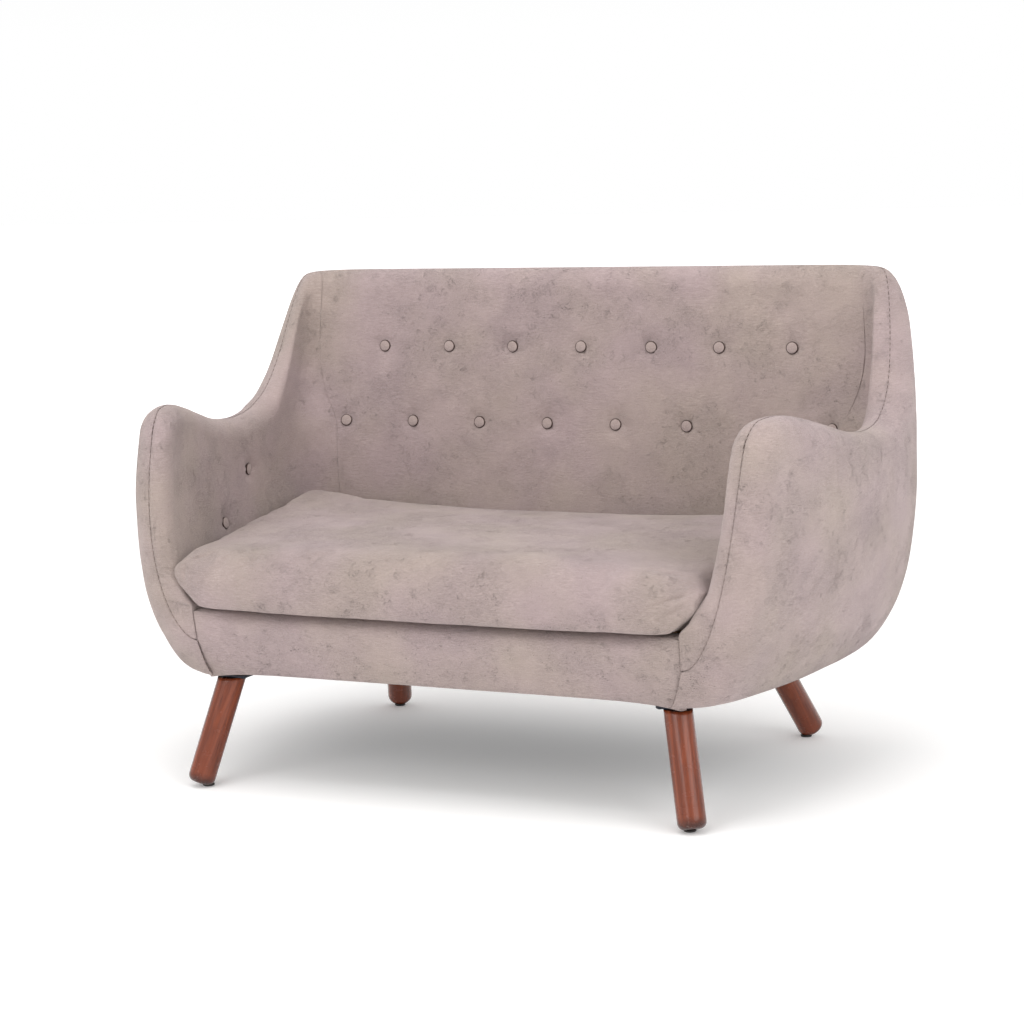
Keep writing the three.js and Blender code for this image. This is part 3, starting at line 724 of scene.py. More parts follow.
def stained_wood():
    """Legs: red walnut stain under satin lacquer, with pores, scuffs and dark ends."""
    look = Look("leg_walnut")
    grain = look.streaks((46, 46, 3.2), 5.0, 0.62, 1.4)
    colour = look.blend(look.spread(grain, 0.3, 0.7), rgb(68, 28, 18), rgb(150, 74, 42))
    broad = look.streaks((16, 16, 5), 2.0, 0.5)
    colour = look.blend(look.spread(broad, 0.3, 0.7, 0.0, 0.55), colour, rgb(110, 50, 30))
    pore = look.spread(look.streaks((900, 900, 34), 2.0, 0.6), 0.6, 0.72)
    colour = look.blend(look.times(pore, 0.5), colour, rgb(52, 22, 16))
    height = look.add("ShaderNodeSeparateXYZ")
    look.put(height.inputs[0], look.place)
    uneven = look.times(look.noise(60.0, 3.0), 0.018)
    low = look.math("SUBTRACT", height.outputs["Z"], uneven)
    colour = look.blend(look.spread(low, 0.0, 0.012, 0.75, 0.0), colour, rgb(40, 22, 20))
    scuffs = look.spread(look.streaks((210, 210, 70), 4.0, 0.7), 0.62, 0.68)
    scuffs = look.times(scuffs, look.spread(look.noise(11.0, 2.0), 0.55, 0.63))
    colour = look.blend(look.times(scuffs, 0.7), colour, rgb(186, 160, 150))
    look.bump(look.math("SUBTRACT", 1.0, pore), 0.0002, 0.5)
    look.bump(grain, 0.0003, 0.3)
    look.bump(look.math("SUBTRACT", 1.0, scuffs), 0.0003, 0.6)
    satin = look.spread(look.noise(70.0, 3.0), 0.3, 0.7, 0.18, 0.3)
    return look.finish(
        colour, look.math("ADD", satin, look.times(scuffs, 0.3)),
        Coat_Weight=0.25, Coat_Roughness=0.1, Specular_IOR_Level=0.3,
    )


def bare_wood(name, light, dark, stretch, plies=0.0):
    """Unfinished timber or plywood, with its plies showing if it has any."""
    look = Look(name)
    grain = look.streaks(stretch, 5.0, 0.6, 0.9)
    colour = look.blend(look.spread(grain, 0.3, 0.7), dark, light)
    flecks = look.streaks(tuple(9 * s for s in stretch), 2.0, 0.6)
    colour = look.blend(look.spread(flecks, 0.58, 0.7, 0.0, 0.35), colour, dark)
    if plies:
        layers = look.bands("Z", plies, 0.6)
        colour = look.blend(look.times(layers, 0.25), colour, dark)
    look.bump(grain, 0.0004, 0.4)
    look.bump(look.noise(900.0, 2.0), 0.0002, 0.3)
    return look.finish(colour, look.spread(flecks, 0.3, 0.7, 0.6, 0.78), Specular_IOR_Level=0.3)


def metal(name, tone, metallic, roughness, grit):
    """Plated or coated steel with fine grit and rubbed patches."""
    look = Look(name)
    patches = look.noise(180.0, 4.0, 0.6)
    rubbed = tuple(min(1.0, 1.5 * c + 0.02) for c in tone[:3]) + (1.0,)
    colour = look.blend(look.spread(patches, 0.45, 0.7, 0.0, 0.45), tone, rubbed)
    look.bump(look.noise(grit, 2.0, 0.5), 0.0001, 0.35)
    rough = look.spread(look.noise(320.0, 3.0), 0.3, 0.7, roughness - 0.08, roughness + 0.12)
    return look.finish(colour, rough, Metallic=metallic)


def moulded(name, tone):
    """Dark nylon with a fine moulded grain and grey scrapes."""
    look = Look(name)
    scrapes = look.spread(look.streaks((900, 300, 300), 4.0, 0.7), 0.6, 0.7)
    colour = look.blend(look.times(scrapes, 0.4), tone, rgb(96, 92, 88))
    look.bump(look.noise(1500.0, 2.0), 0.0001, 0.5)
    return look.finish(colour, look.spread(scrapes, 0.0, 1.0, 0.42, 0.6))


def woven_tape(name, tone, cell):
    """Close woven tape or pressed cloth: crossed threads over a plain tone."""
    look = Look(name)
    across, along, up = (look.bands(way, 1 / cell, 0.8) for way in "XYZ")
    weave = look.math("ADD", look.math("ADD", across, along), up)
    colour = look.shade(tone, look.noise(40.0, 3.0), 0.3, 0.7, 0.85, 1.12)
    colour = look.shade(colour, weave, 0.8, 2.2, 0.85, 1.12)
    look.bump(weave, 0.0002, 0.8)
    return look.finish(colour, look.spread(weave, 0.0, 3.0, 0.8, 0.95), Specular_IOR_Level=0.2)


ALONG_WALLS = (85.0, 85.0, 420.0)
ALONG_SEAT = (85.0, 360.0, 360.0)
# painted light and shade: shell, seat and button are one cloth, and the light factor makes the seat
# copy a little darker and the button copy a little lighter than the shell
SHELL_CLOTH = upholstery("shell_fabric", 1.035, ALONG_WALLS)
SEAT_CLOTH = upholstery("seat_fabric", 1.02, ALONG_SEAT)
BUTTON_CLOTH = upholstery("button_fabric", 1.05, (300.0, 300.0, 300.0), BUTTON_RADIUS * MM)
WALNUT = stained_wood()
BIRCH_PLY = bare_wood("plywood", rgb(214, 184, 140), rgb(176, 140, 96), (4, 30, 30), plies=105.0)
BEECH = bare_wood("beech", rgb(206, 172, 134), rgb(164, 124, 90), (3, 42, 42))
COATED_STEEL = metal("plate_steel", rgb(34, 37, 46), 0.6, 0.42, 2600.0)
ZINC = metal("zinc_steel", rgb(190, 190, 192), 1.0, 0.32, 3400.0)
NYLON = moulded("glide_nylon", rgb(38, 34, 32))
BLACK_CLOTH = woven_tape("dust_cloth", rgb(40, 40, 43), 0.0016)
ZIP_CLOTH = woven_tape("zipper_tape", rgb(148, 136, 130), 0.0012)
THREAD = woven_tape("seam_thread", rgb(96, 82, 76), 0.0008)

# ----------------------------------------------------------------- shell pieces

ROUNDING = np.radians([90, 89, 87.5, 85.5, 83, 79, 74, 68, 61, 53, 44, 34, 23, 11, 0])
SIDE_STEPS = np.linspace(NOSE_RADIUS, WIDEST - NOSE, 78)[1:-1]
BEHIND_NOSE = np.concatenate([NOSE_RADIUS * (1 - np.sin(ROUNDING)), SIDE_STEPS])
NEAR_DIVISION = np.radians([0.0, 0.12, 0.3, 0.6, 1.1])
CORNER_TURNS = np.linspace(0, DIVISION - math.radians(2.2), 44)
ARM_TURNS = np.concatenate([CORNER_TURNS, (DIVISION - DIVISION_GAP - NEAR_DIVISION)[::-1]])
BACK_TURNS = np.concatenate([
    DIVISION + DIVISION_GAP + NEAR_DIVISION,
    np.arctan(1 / np.linspace(0.965, 0, 110)[:-1]), [math.pi / 2],
])
ARM = Stations(BEHIND_NOSE, ARM_TURNS)
BACK = Stations([], BACK_TURNS)

for label, side in SIDES:
    build_wall(f"{label}_arm_padding", ARM, side, False, SHELL_CLOTH, f"{label}_arm_pad")
    build_wall(f"{label}_arm_cover", ARM, side, True, SHELL_CLOTH, f"{label}_arm_outer_cover")
build_wall("back_padding", BACK, 0, False, SHELL_CLOTH, "back_pad")
build_wall("back_cover", BACK, 0, True, SHELL_CLOTH, "back_outer_cover")


def tube(points, radius, sides=6):
    """Points and faces of a closed tube with drawn-in ends along a short path."""
    path = np.asarray(points, float)
    along = np.gradient(path, axis=0)
    along /= np.linalg.norm(along, axis=1)[:, None]
    helper = np.where(np.abs(along[:, 2:]) < 0.8, [[0, 0, 1]], [[1, 0, 0]])
    first = np.cross(along, helper)
    first /= np.linalg.norm(first, axis=1)[:, None]
    second = np.cross(along, first)
    angle = np.arange(sides) * 2 * math.pi / sides
    size = np.full(len(path), float(radius))
    size[[0, -1]] *= 0.45
    ring = first[:, None] * np.cos(angle)[:, None] + second[:, None] * np.sin(angle)[:, None]
    body = path[:, None] + ring * size[:, None, None]
    faces = ring_faces(len(path), sides) + end_caps(len(path), sides)
    return body.reshape(-1, 3), faces


def join(parts):
    """One list of points and faces out of several."""
    points, faces, start = [], [], 0
    for part_points, part_faces in parts:
        points.append(part_points)
        faces += [[start + k for k in face] for face in part_faces]
        start += len(part_points)
    return np.concatenate(points), faces


def seam_line():
    """The seam between pads and covers, from the foot of the right nose over its
    front and along the rim to the middle of the back."""
    nose = Stations([0.0], [])
    nose_rim = float(nose.rim()[0, 0])
    z = np.linspace(PAD_LOW_AT_NOSE - 48, nose_rim, 120)[None, :]
    up = wall_section(nose, z, nose.rim())[0][0]
    up[:, 1] += GROOVE_DEPTH
    along = Stations(BEHIND_NOSE[3:], np.concatenate([CORNER_TURNS, BACK_TURNS]))
    over = wall_section(along, along.rim(), along.rim())[0][:, 0]
    over[:, 2] -= GROOVE_DEPTH
    return np.vstack([up, over])


def even_steps(path, pitch):
    """Where along a path things stand that repeat at about a pitch."""
    length = run_length(path)
    return length, np.arange(pitch, length[-1] - pitch, pitch)


def build_stitches(name, path, side):
    """A row of short threads along a seam."""
    length, places = even_steps(path, STITCH_PITCH)
    parts = []
    for at in places:
        t = at + STITCH_LENGTH * np.array([-0.5, -0.25, 0, 0.25, 0.5])
        line = np.stack([np.interp(t, length, path[:, k]) for k in range(3)], 1)
        parts.append(tube(line * np.array([side, 1, 1]), THREAD_RADIUS))
    piece = make_mesh(name, *join(parts), THREAD)
    face_outwards(piece)
    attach(piece, FRAME_BODY)


for label, side in SIDES:
    build_stitches(f"seam_stitches_{label}", seam_line(), side)


def seam_surface_x(y, z):
    """x of the dividing surface near the right nose, at a point's y and z."""
    behind = np.linspace(0, 60, 31)
    stations = Stations(behind, [])
    levels, which = np.unique(np.round(z, 1), return_inverse=True)
    grid = np.broadcast_to(levels[None, :], (len(behind), len(levels)))
    middle = wall_section(stations, grid, stations.rim())[0]
    pairs = zip(y, which.ravel())
    return np.array([np.interp(at, middle[:, k, 1], middle[:, k, 0]) for at, k in pairs])


def build_rail_cover():
    """The padded strip over the front rail, with its ends let in between the arms."""
    front = smooth_path(RAIL_COVER, 6)
    loop = np.array([*RAIL_COVER_HEM, *front, *RAIL_COVER_LIP], float)
    rows, columns = len(loop), 161
    a = np.linspace(-1, 1, columns)[:, None]
    level, face_y = loop[None, :, 0], loop[None, :, 1]
    at_front = np.clip((RAIL_COVER_BACK - face_y) / 10, 0, 1)
    forward = (nose_y(level) + 0.6 - face_y) * at_front * np.abs(a) ** 7
    end = seam_surface_x(loop[:, 1] + forward[-1], loop[:, 0]) - 0.3
    end = np.where(loop[:, 0] > PAD_LOW_AT_NOSE, foot_inner_x(loop[:, 0]), end)
    grid = (columns, rows)
    x = a * end[None, :]
    points = np.stack([x, face_y + forward, np.broadcast_to(level, grid)], -1)
    flat = points.reshape(-1, 3)
    wave = 0.9 * slow_noise(flat, 70, 41) + 0.5 * slow_noise(flat, 26, 43)
    fade = np.broadcast_to(at_front * (1 - np.abs(a) ** 12), grid).ravel()
    flat[:, 1] -= wave * fade
    flat[:, 2] += 0.8 * slow_noise(flat, 60, 47) * fade
    hem_drop = RAIL_COVER_DROP * (np.abs(a) ** 9).repeat(rows)
    flat[:, 2] -= hem_drop * (1 - ramp(flat[:, 2], 156, 190))
    at_seam = np.exp(-(1 - np.abs(a)) * RAIL_COVER_HALF / GROOVE_WIDTH).repeat(rows)
    flat[:, 1] += GROOVE_DEPTH * np.broadcast_to(at_front, grid).ravel() * at_seam
    faces = ring_faces(columns, rows) + end_caps(columns, rows)
    piece = make_mesh("front_rail_padding", flat, faces, SHELL_CLOTH)
    face_outwards(piece)
    crisp_edges(piece, 60)
    set_uv(piece, flat[:, 0], flat[:, 2])
    set_wear(piece, np.exp(-(flat[:, 2] - 150) / 22) * 0.9)
    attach(piece, FRAME_BODY)
    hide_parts("front_rail_cover")


build_rail_cover()

# ---------------------------------------------------------------------- buttons


def lathe(profile, sides):
    """Points and faces of a solid of revolution about z; the profile starts and
    ends on the axis."""
    r, z = np.array(profile[1:-1], float).T
    angle = np.arange(sides) * 2 * math.pi / sides
    height = np.repeat(z[:, None], sides, 1)
    ring = np.stack([np.outer(r, np.cos(angle)), np.outer(r, np.sin(angle)), height], -1)
    tips = [[0, 0, profile[0][1]], [0, 0, profile[-1][1]]]
    points = np.concatenate([ring.reshape(-1, 3), tips])
    count = len(r)
    faces = ring_faces(count, sides)
    low, high = count * sides, count * sides + 1
    for k in range(sides):
        n = (k + 1) % sides
        faces.append([low, n, k])
        faces.append([high, (count - 1) * sides + k, (count - 1) * sides + n])
    return points, faces


def button_profile():
    """A dome over a narrower shank: radius and height from the cloth."""
    dome = [
        (BUTTON_RADIUS * math.cos(a), BUTTON_EDGE + (BUTTON_HEIGHT - BUTTON_EDGE) * math.sin(a))
        for a in np.radians([-18, 0, 14, 27, 39, 50, 60, 70, 80])
    ]
    return [(0, -1.2), (6.4, -1.2), (7.6, 0.0), (8.3, 0.6), *dome, (0, BUTTON_HEIGHT)]


PADS = {0: "back_padding", 1: "right_arm_padding", -1: "left_arm_padding"}


def build_button(name, wall, u, z):
    """A covered button, seated on its pad and square to it."""
    pad = bpy.data.objects[PADS[wall]]
    if wall == 0:
        start, way = Vector((u, -100, z)) * MM, Vector((0, 1, 0))
    else:
        start, way = Vector((0, u, z)) * MM, Vector((wall, 0, 0))

    def hit(at):
        return pad.ray_cast(at, way)[1]

    across = Vector((way.y, way.x, 0)) * BUTTON_PROBE * MM
    up = Vector((0, 0, BUTTON_PROBE * MM))
    sideways = hit(start + across) - hit(start - across)
    facing = sideways.cross(hit(start + up) - hit(start - up)).normalized()
    if facing.dot(way) > 0:
        facing.negate()
    points, faces = lathe(button_profile(), 28)
    radius = np.hypot(points[:, 0], points[:, 1])
    angle = np.arctan2(points[:, 1], points[:, 0])
    gather = 0.16 * np.cos(11 * angle) * np.clip((radius - 6.5) / 3, 0, 1)
    points[:, :2] *= (1 + gather / np.maximum(radius, 1))[:, None]
    points[:, 2] += 0.25 * slow_noise(points + 50 * u, 6, 61)
    piece = make_mesh(name.replace("button_", "covered_button_"), points, faces, BUTTON_CLOTH)
    face_outwards(piece)
    set_uv(piece, points[:, 0], points[:, 1])
    set_wear(piece, np.zeros(len(points)))
    turn = facing.to_track_quat("Z", "Y")
    piece.matrix_world = Matrix.Translation(hit(start)) @ turn.to_matrix().to_4x4()
    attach(piece, FRAME_BODY)
    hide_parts(name)


bpy.context.view_layer.update()
for place in button_places():
    build_button(*place)

# ---------------------------------------------------------------------- cushion


def seat_half_width(y, z):
    """Half width of the seat between the arm pads."""
    side = inner_half_width(z) - TAPER * (np.maximum(WIDEST - y, 0) / TAPER_RUN) ** 2
    turn = np.clip(np.maximum(y - WIDEST, 0) / (inner_rear(z) - WIDEST), 0, 0.995)
    return side * (1 - turn ** 5) ** (1 / 5) - CUSHION_SIDE_GAP


FRONT_EDGE = 264  # height of the widest line in front
CORNER_EDGE = 289  # and at the front corners and the sides
SIM_FRAMES = 20
SIM_VOXEL = 5
SIM_REACH = 9  # the most a point may move
FRONT_OVERHANG = 5  # the front stands this far in front of the CAD solid
FRONT_SAG = 7.5  # and hangs this far below its bottom, over the rail
TOP_ROLLS = (54, 16, 20)  # rounding at the front, the sides and the rear
FOOT_ROLLS = (9, 34, 8)
EAR = 8  # how far the front corners reach out to the arms
EAR_RUN = 40  # and how far back that runs
EAR_POINT = 11  # and how far their tips are drawn out
CORNER_TUCK = 13  # how far the corners draw in under the tips


def cushion_depth(y):
    """0 at the front of the cushion, 1 at its rear."""
    return np.clip((y - CUSHION_FRONT) / (CUSHION_REAR - CUSHION_FRONT), 0, 1)


def cushion_top(x, y):
    """Height of the top of the cushion: a low crown, higher towards the rear
    corners, where the cover is drawn up, and lowest along the front."""
    back, across = cushion_depth(y), np.abs(x) / 400
    crown = CUSHION_CROWN + 18 * np.sin(math.pi * (0.16 + 0.78 * back)) * (1 - across ** 2)
    return crown + across ** 2.4 * (-3 + 33 * back ** 1.6)


def cushion_edge(x, y):
    """Height of the widest line round the cushion: low in the front, where the
    face hangs down over the rail, and half way up at the corners and sides."""
    corner = np.clip(np.abs(x) / 360, 0, 1) ** 5
    raised = np.maximum(corner, ramp(y, -270, -200))
    rear_corner = 27 * cushion_depth(y) ** 2 * corner
    return lerp(FRONT_EDGE, CORNER_EDGE, raised) + rear_corner


def cushion_start():
    """A closed body of two faces, the upper and the lower, that meet at the
    widest line; both round over towards it."""
    across, deep = 101, 71
    rear = CUSHION_REAR - 1
    a = np.sin(np.linspace(-1, 1, across) * math.pi / 2)[:, None]
    b = (1 - np.cos(np.linspace(0, 1, deep) * math.pi))[None, :] / 2
    front = CUSHION_FRONT - FRONT_OVERHANG
    corner = 12 * np.abs(a) ** 10 * (1 - b) ** 5
    y = lerp(front, rear, b) + corner
    ear = EAR * np.exp(-((y - front) / EAR_RUN) ** 2)
    half = seat_half_width(y, CUSHION_EDGE) + ear
    x = a * half
    to_side = half - np.abs(x)
    grids = []
    for top in (0, 1):
        share = 1.0
        rooms = (y - front - corner, to_side, rear - y)
        for room, roll in zip(rooms, TOP_ROLLS if top else FOOT_ROLLS):
            share = share * np.sqrt(1 - (1 - np.clip(room / roll, 0, 1)) ** 2)
        far = cushion_top(x, y) - 3 if top else CUSHION_BOTTOM + 1.0 + 0 * x
        z = lerp(cushion_edge(x, y), far, share)
        grids.append(np.stack([x, y, z], -1))
    points = np.concatenate([g.reshape(-1, 3) for g in grids])
    return points, slab_faces(across, deep)


def apply_modifiers(piece):
    graph = bpy.context.evaluated_depsgraph_get()
    mesh = bpy.data.meshes.new_from_object(piece.evaluated_get(graph))
    piece.modifiers.clear()
    old, piece.data = piece.data, mesh
    bpy.data.meshes.remove(old)


def read_vectors(piece, kind):
    values = np.zeros(len(piece.data.vertices) * 3, np.float32)
    piece.data.vertices.foreach_get(kind, values)
    return values.reshape(-1, 3)


def read_points(piece):
    """The points of a mesh, in mm."""
    return read_vectors(piece, "co").astype(float) / MM


def write_points(piece, points):
    piece.data.vertices.foreach_set("co", (points * MM).astype(np.float32).ravel())
    piece.data.update()


def swell(piece):
    """Inflates a closed cover a little by cloth simulation, as its filling does."""
    scene = bpy.context.scene
    cloth = piece.modifiers.new("cloth", "CLOTH")
    cloth.settings.quality = 5
    cloth.settings.mass = 0.3
    cloth.settings.tension_stiffness = 18
    cloth.settings.compression_stiffness = 18
    cloth.settings.bending_stiffness = 1.2
    cloth.settings.use_pressure = True
    cloth.settings.uniform_pressure_force = 4
    cloth.settings.effector_weights.gravity = 0
    cloth.point_cache.frame_start = 1
    cloth.point_cache.frame_end = SIM_FRAMES
    for step in range(1, SIM_FRAMES + 1):
        scene.frame_set(step)
    before = read_points(piece)
    apply_modifiers(piece)
    moved = read_points(piece) - before
    size = np.linalg.norm(moved, axis=1)[:, None]
    write_points(piece, before + moved * np.minimum(1, SIM_REACH / np.maximum(size, 1e-6)))
    scene.frame_set(1)


def groove(points, normals, start, end, width, depth):
    """Depth of a crease along a line laid on the surface, tapering to its ends."""
    start, end = np.array(start, float), np.array(end, float)
    run = end - start
    t = np.clip((points - start) @ run / (run @ run), 0, 1)
    apart = points - start - t[:, None] * run
    out = np.sum(apart * normals, axis=1)
    along = np.linalg.norm(apart - out[:, None] * normals, axis=1)
    near = np.exp(-(along / width) ** 2) * (np.abs(out) < 18)
    return depth * near * np.sin(math.pi * np.clip(t, 0.1, 0.9)) ** 0.5


CORNER_CREASES = (  # from, to, width, depth: gathers at the front corners
    ((352, -294, 300), (312, -304, 282), 3.0, 3.4),
    ((356, -288, 288), (318, -303, 266), 2.8, 3.0),
    ((360, -284, 294), (334, -300, 290), 2.2, 2.4),
    ((340, -270, 309), (296, -262, 316), 4.4, 2.6),
    ((-352, -288, 303), (-346, -292, 284), 2.6, 3.2),
    ((-346, -280, 306), (-318, -270, 313), 5.0, 1.8),
    ((-352, -292, 281), (-326, -298, 262), 4.0, 2.0),
)


def ear_room(y):
    """How far the cushion may reach out beside the arm pads near its front."""
    return EAR * np.exp(-((y - CUSHION_FRONT) / EAR_RUN) ** 2)


def shape_cushion(piece):
    """Sets the swollen cushion flat on the deck and at the zipper, brings its front
    out over the rail and shapes its front corners."""
    p = read_points(piece)
    p[:, 1] = np.minimum(p[:, 1], CUSHION_REAR)
    short = CUSHION_FRONT - FRONT_OVERHANG - p[:, 1].min()
    p[:, 1] += short * ramp(-p[:, 1], 190, 285)
    over_rail = ramp(-p[:, 1], 289, 296)
    p[:, 2] -= FRONT_SAG * over_rail * (1 - ramp(p[:, 2], 250, 285))
    p[:, 2] = np.maximum(p[:, 2], CUSHION_BOTTOM + 0.6 - FRONT_SAG * over_rail)
    drawn_in = ramp(np.abs(p[:, 0]), 290, 368) * ramp(-p[:, 1], 230, 280)
    drawn_in = drawn_in * (1 - ramp(p[:, 2], 244, 284))
    p[:, 0] -= CORNER_TUCK * drawn_in * np.sign(p[:, 0])
    tip = np.exp(-((p[:, 2] - CORNER_EDGE) / 11) ** 2 - ((p[:, 1] + 284) / 24) ** 2)
    tip = tip * ramp(np.abs(p[:, 0]), 325, 372)
    p[:, 0] += EAR_POINT * tip * np.sign(p[:, 0])
    y = np.clip(p[:, 1], CUSHION_FRONT, CUSHION_REAR)
    room = seat_half_width(y, np.maximum(p[:, 2], 200)) + ear_room(y)
    p[:, 0] = np.clip(p[:, 0], -room, room)
    wave = 1.1 * slow_noise(p, 120, 71) + 0.5 * slow_noise(p, 50, 73)
    p[:, 2] += wave * ramp(p[:, 2], 262, 300)
    p[:, 1] -= 1.4 * slow_noise(p, 60, 79) * ramp(-p[:, 1], 250, 285)
    write_points(piece, p)


def crease_cushion(piece):
    """Draws the gathers of the front corners in."""
    p = read_points(piece)
    normals = read_vectors(piece, "normal")
    depth = sum(groove(p, normals, *crease) for crease in CORNER_CREASES)
    write_points(piece, p - depth[:, None] * normals)


def build_cushion():
    """The loose seat cushion: swollen, set in its place and creased."""
    points, faces = cushion_start()
    piece = make_mesh("seat_pillow", points, faces, SEAT_CLOTH)
    face_outwards(piece)
    remesh = piece.modifiers.new("remesh", "REMESH")
    remesh.mode = "VOXEL"
    remesh.voxel_size = SIM_VOXEL * MM
    apply_modifiers(piece)
    swell(piece)
    shape_cushion(piece)
    finer = piece.modifiers.new("finer", "SUBSURF")
    finer.levels = finer.render_levels = 1
    apply_modifiers(piece)
    crease_cushion(piece)
    piece.data.materials.clear()
    piece.data.materials.append(SEAT_CLOTH)
    piece.data.polygons.foreach_set("use_smooth", [True] * len(piece.data.polygons))
    p = read_points(piece)
    set_uv(piece, p[:, 0], p[:, 1] + p[:, 2])
    set_wear(piece, 0.5 * np.exp(-(p[:, 2] - CUSHION_BOTTOM) / 10))
    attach(piece, CUSHION_BODY)
    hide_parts("seat_cushion")


build_cushion()

# ------------------------------------------------------------------------- legs

LEG_RADIUS = 18
LEG_FILLET = 9
LEG_TOP = 143.7
GLIDE = 3
PLATE_SCREW_INSET = 5.2
LEGS = {  # x and y where the axis meets the floor, and its slopes in x and y
    "front": (350, -280, -0.23, 0.29),
    "rear": (330, 262, -0.29, -0.62),
}


def leg_start(tilt):
    """Distance along the axis from the floor to the rounded end of the leg."""
    reach = (LEG_RADIUS - LEG_FILLET) * math.sin(tilt) + LEG_FILLET
    return (GLIDE - 1.5 + reach) / math.cos(tilt) - LEG_FILLET


def build_leg(label, x, y, axis):
    """A turned leg in its own frame, z along its axis, its top cut level."""
    turn = Vector((0, 0, 1)).rotation_difference(axis)
    tilt = math.acos(axis.z)
    start = leg_start(tilt)
    sides = 48
    angle = np.arange(sides) * 2 * math.pi / sides
    round_off = np.radians([4, 12, 21, 31, 42, 54, 66, 78, 90])
    rounded = LEG_RADIUS - LEG_FILLET * (1 - np.sin(round_off))
    radii = np.concatenate([rounded, np.full(30, LEG_RADIUS)])
    side_share = np.linspace(0, 1, 31)[1:]
    rings = []
    to_local = turn.inverted().to_matrix()
    slope = np.array(to_local @ Vector((0, 0, 1)))
    for k, radius in enumerate(radii):
        ring = np.stack([radius * np.cos(angle), radius * np.sin(angle), 0 * angle], 1)
        if k < len(round_off):
            ring[:, 2] = start + LEG_FILLET * (1 - math.cos(round_off[k]))
        else:
            top = (LEG_TOP - ring[:, 0] * slope[0] - ring[:, 1] * slope[1]) / slope[2]
            ring[:, 2] = lerp(start + LEG_FILLET, top, side_share[k - len(round_off)])
        rings.append(ring)
    points = np.concatenate(rings)
    hand = 1 + 0.004 * slow_noise(points, 30, 83 + x % 7)
    points[:, :2] *= hand[:, None]
    faces = ring_faces(len(radii), sides) + end_caps(len(radii), sides)
    piece = make_mesh(f"turned_leg_{label}", points, faces, WALNUT)
    face_outwards(piece)
    piece.matrix_world = Matrix.Translation(Vector((x, y, 0)) * MM) @ turn.to_matrix().to_4x4()
    piece.data.polygons[-1].use_smooth = False
    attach(piece, FRAME_BODY)
    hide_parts(f"leg_{label}")


def build_glide(label):
    """A nylon glide under the foot of a leg, with the pit of its nail."""
    low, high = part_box(f"foot_glide_{label}")
    centre = (low + high) / 2
    profile = [
        (0, 0.9), (2.2, 0.9), (2.6, 0.1), (6.4, 0), (7.4, 0.35),
        (8, 1.1), (8, 2.6), (7.6, 3), (0, 3),
    ]
    piece = make_mesh(f"nail_glide_{label}", *lathe(profile, 32), NYLON)
    face_outwards(piece)
    piece.location = (centre.x, centre.y, 0)
    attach(piece, FRAME_BODY)
    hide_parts(f"foot_glide_{label}")


def rounded_outline(half_x, half_y, radius, steps=6):
    """Corners of a rectangle rounded to a radius, going round once."""
    points = []
    for quarter, (sx, sy) in enumerate(((1, 1), (-1, 1), (-1, -1), (1, -1))):
        x, y = sx * (half_x - radius), sy * (half_y - radius)
        for k in range(steps + 1):
            a = (quarter + k / steps) * math.pi / 2
            points.append((x + radius * math.cos(a), y + radius * math.sin(a)))
    return np.array(points)


def stacked_outlines(levels):
    """A closed body from outlines of equal length, each with its height."""
    count = len(levels[0][0])
    points = np.concatenate([np.column_stack([xy, np.full(count, z)]) for xy, z in levels])
    return points, end_caps(len(levels), count) + ring_faces(len(levels), count)


def build_plate(label):
    """A pressed plate with its four countersunk screws."""
    low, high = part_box(f"leg_plate_{label}")
    centre, thick = (low + high) / 2 / MM, (high.z - low.z) / MM
    half = (high.x - low.x) / 2 / MM
    shapes = [
        (half - 0.8, 4.2, -thick / 2), (half, 5, 0.8 - thick / 2),
        (half, 5, thick / 2 - 0.8), (half - 0.8, 4.2, thick / 2),
    ]
    parts = [stacked_outlines([(rounded_outline(h, h, r), z) for h, r, z in shapes])]
    screw = [(0, -0.55), (1.1, -0.55), (1.3, -1.15), (3.2, -0.9), (3.8, -0.3), (3.6, 0.4), (0, 0.4)]
    reach = half - PLATE_SCREW_INSET
    for sx in (-1, 1):
        for sy in (-1, 1):
            points, faces = lathe(screw, 20)
            parts.append((points + [sx * reach, sy * reach, -thick / 2], faces))
    points, faces = join(parts)
    points = points + np.array(centre)
    piece = make_mesh(f"pressed_plate_{label}", points, faces, COATED_STEEL, smooth=False)
    face_outwards(piece)
    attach(piece, FRAME_BODY)
    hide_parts(f"leg_plate_{label}")


for row, (leg_x, leg_y, lean_x, lean_y) in LEGS.items():
    for label, side in SIDES:
        leg_axis = Vector((side * lean_x, lean_y, 1)).normalized()
        build_leg(f"{row}_{label}", side * leg_x, leg_y, leg_axis)
        build_glide(f"{row}_{label}")
        build_plate(f"{row}_{label}")

# ------------------------------------------------------------------- dust cover

DUST_Z = 148.7
DUST_FRONT = -238
DUST_CORNER = 312
DUST_THICKNESS = 0.6
DUST_TURN_UP = 12  # behind the front rail
DUST_SAG = 1.6
DUST_ROWS, DUST_COLUMNS = 46, 61
STAPLE_PITCH = 42
STAPLE_INSET = 9  # from the edge of the cloth
STAPLE_HALF = 5  # half the width of its crown


def dust_outline():
    """Half outline of the closing cloth, from the front corner to the rear."""
    turns = np.radians(np.linspace(0, 90, 60)[1:])
    along = Stations(np.linspace(52, WIDEST - NOSE, 30), turns)
    z = np.full((len(along), 1), DUST_Z)
    middle, outwards = wall_section(along, z, along.rim())[:2]
    line = (middle - 2 * outwards)[:, 0, :2]
    return np.vstack([[DUST_CORNER, DUST_FRONT], line[line[:, 1] > DUST_FRONT]])


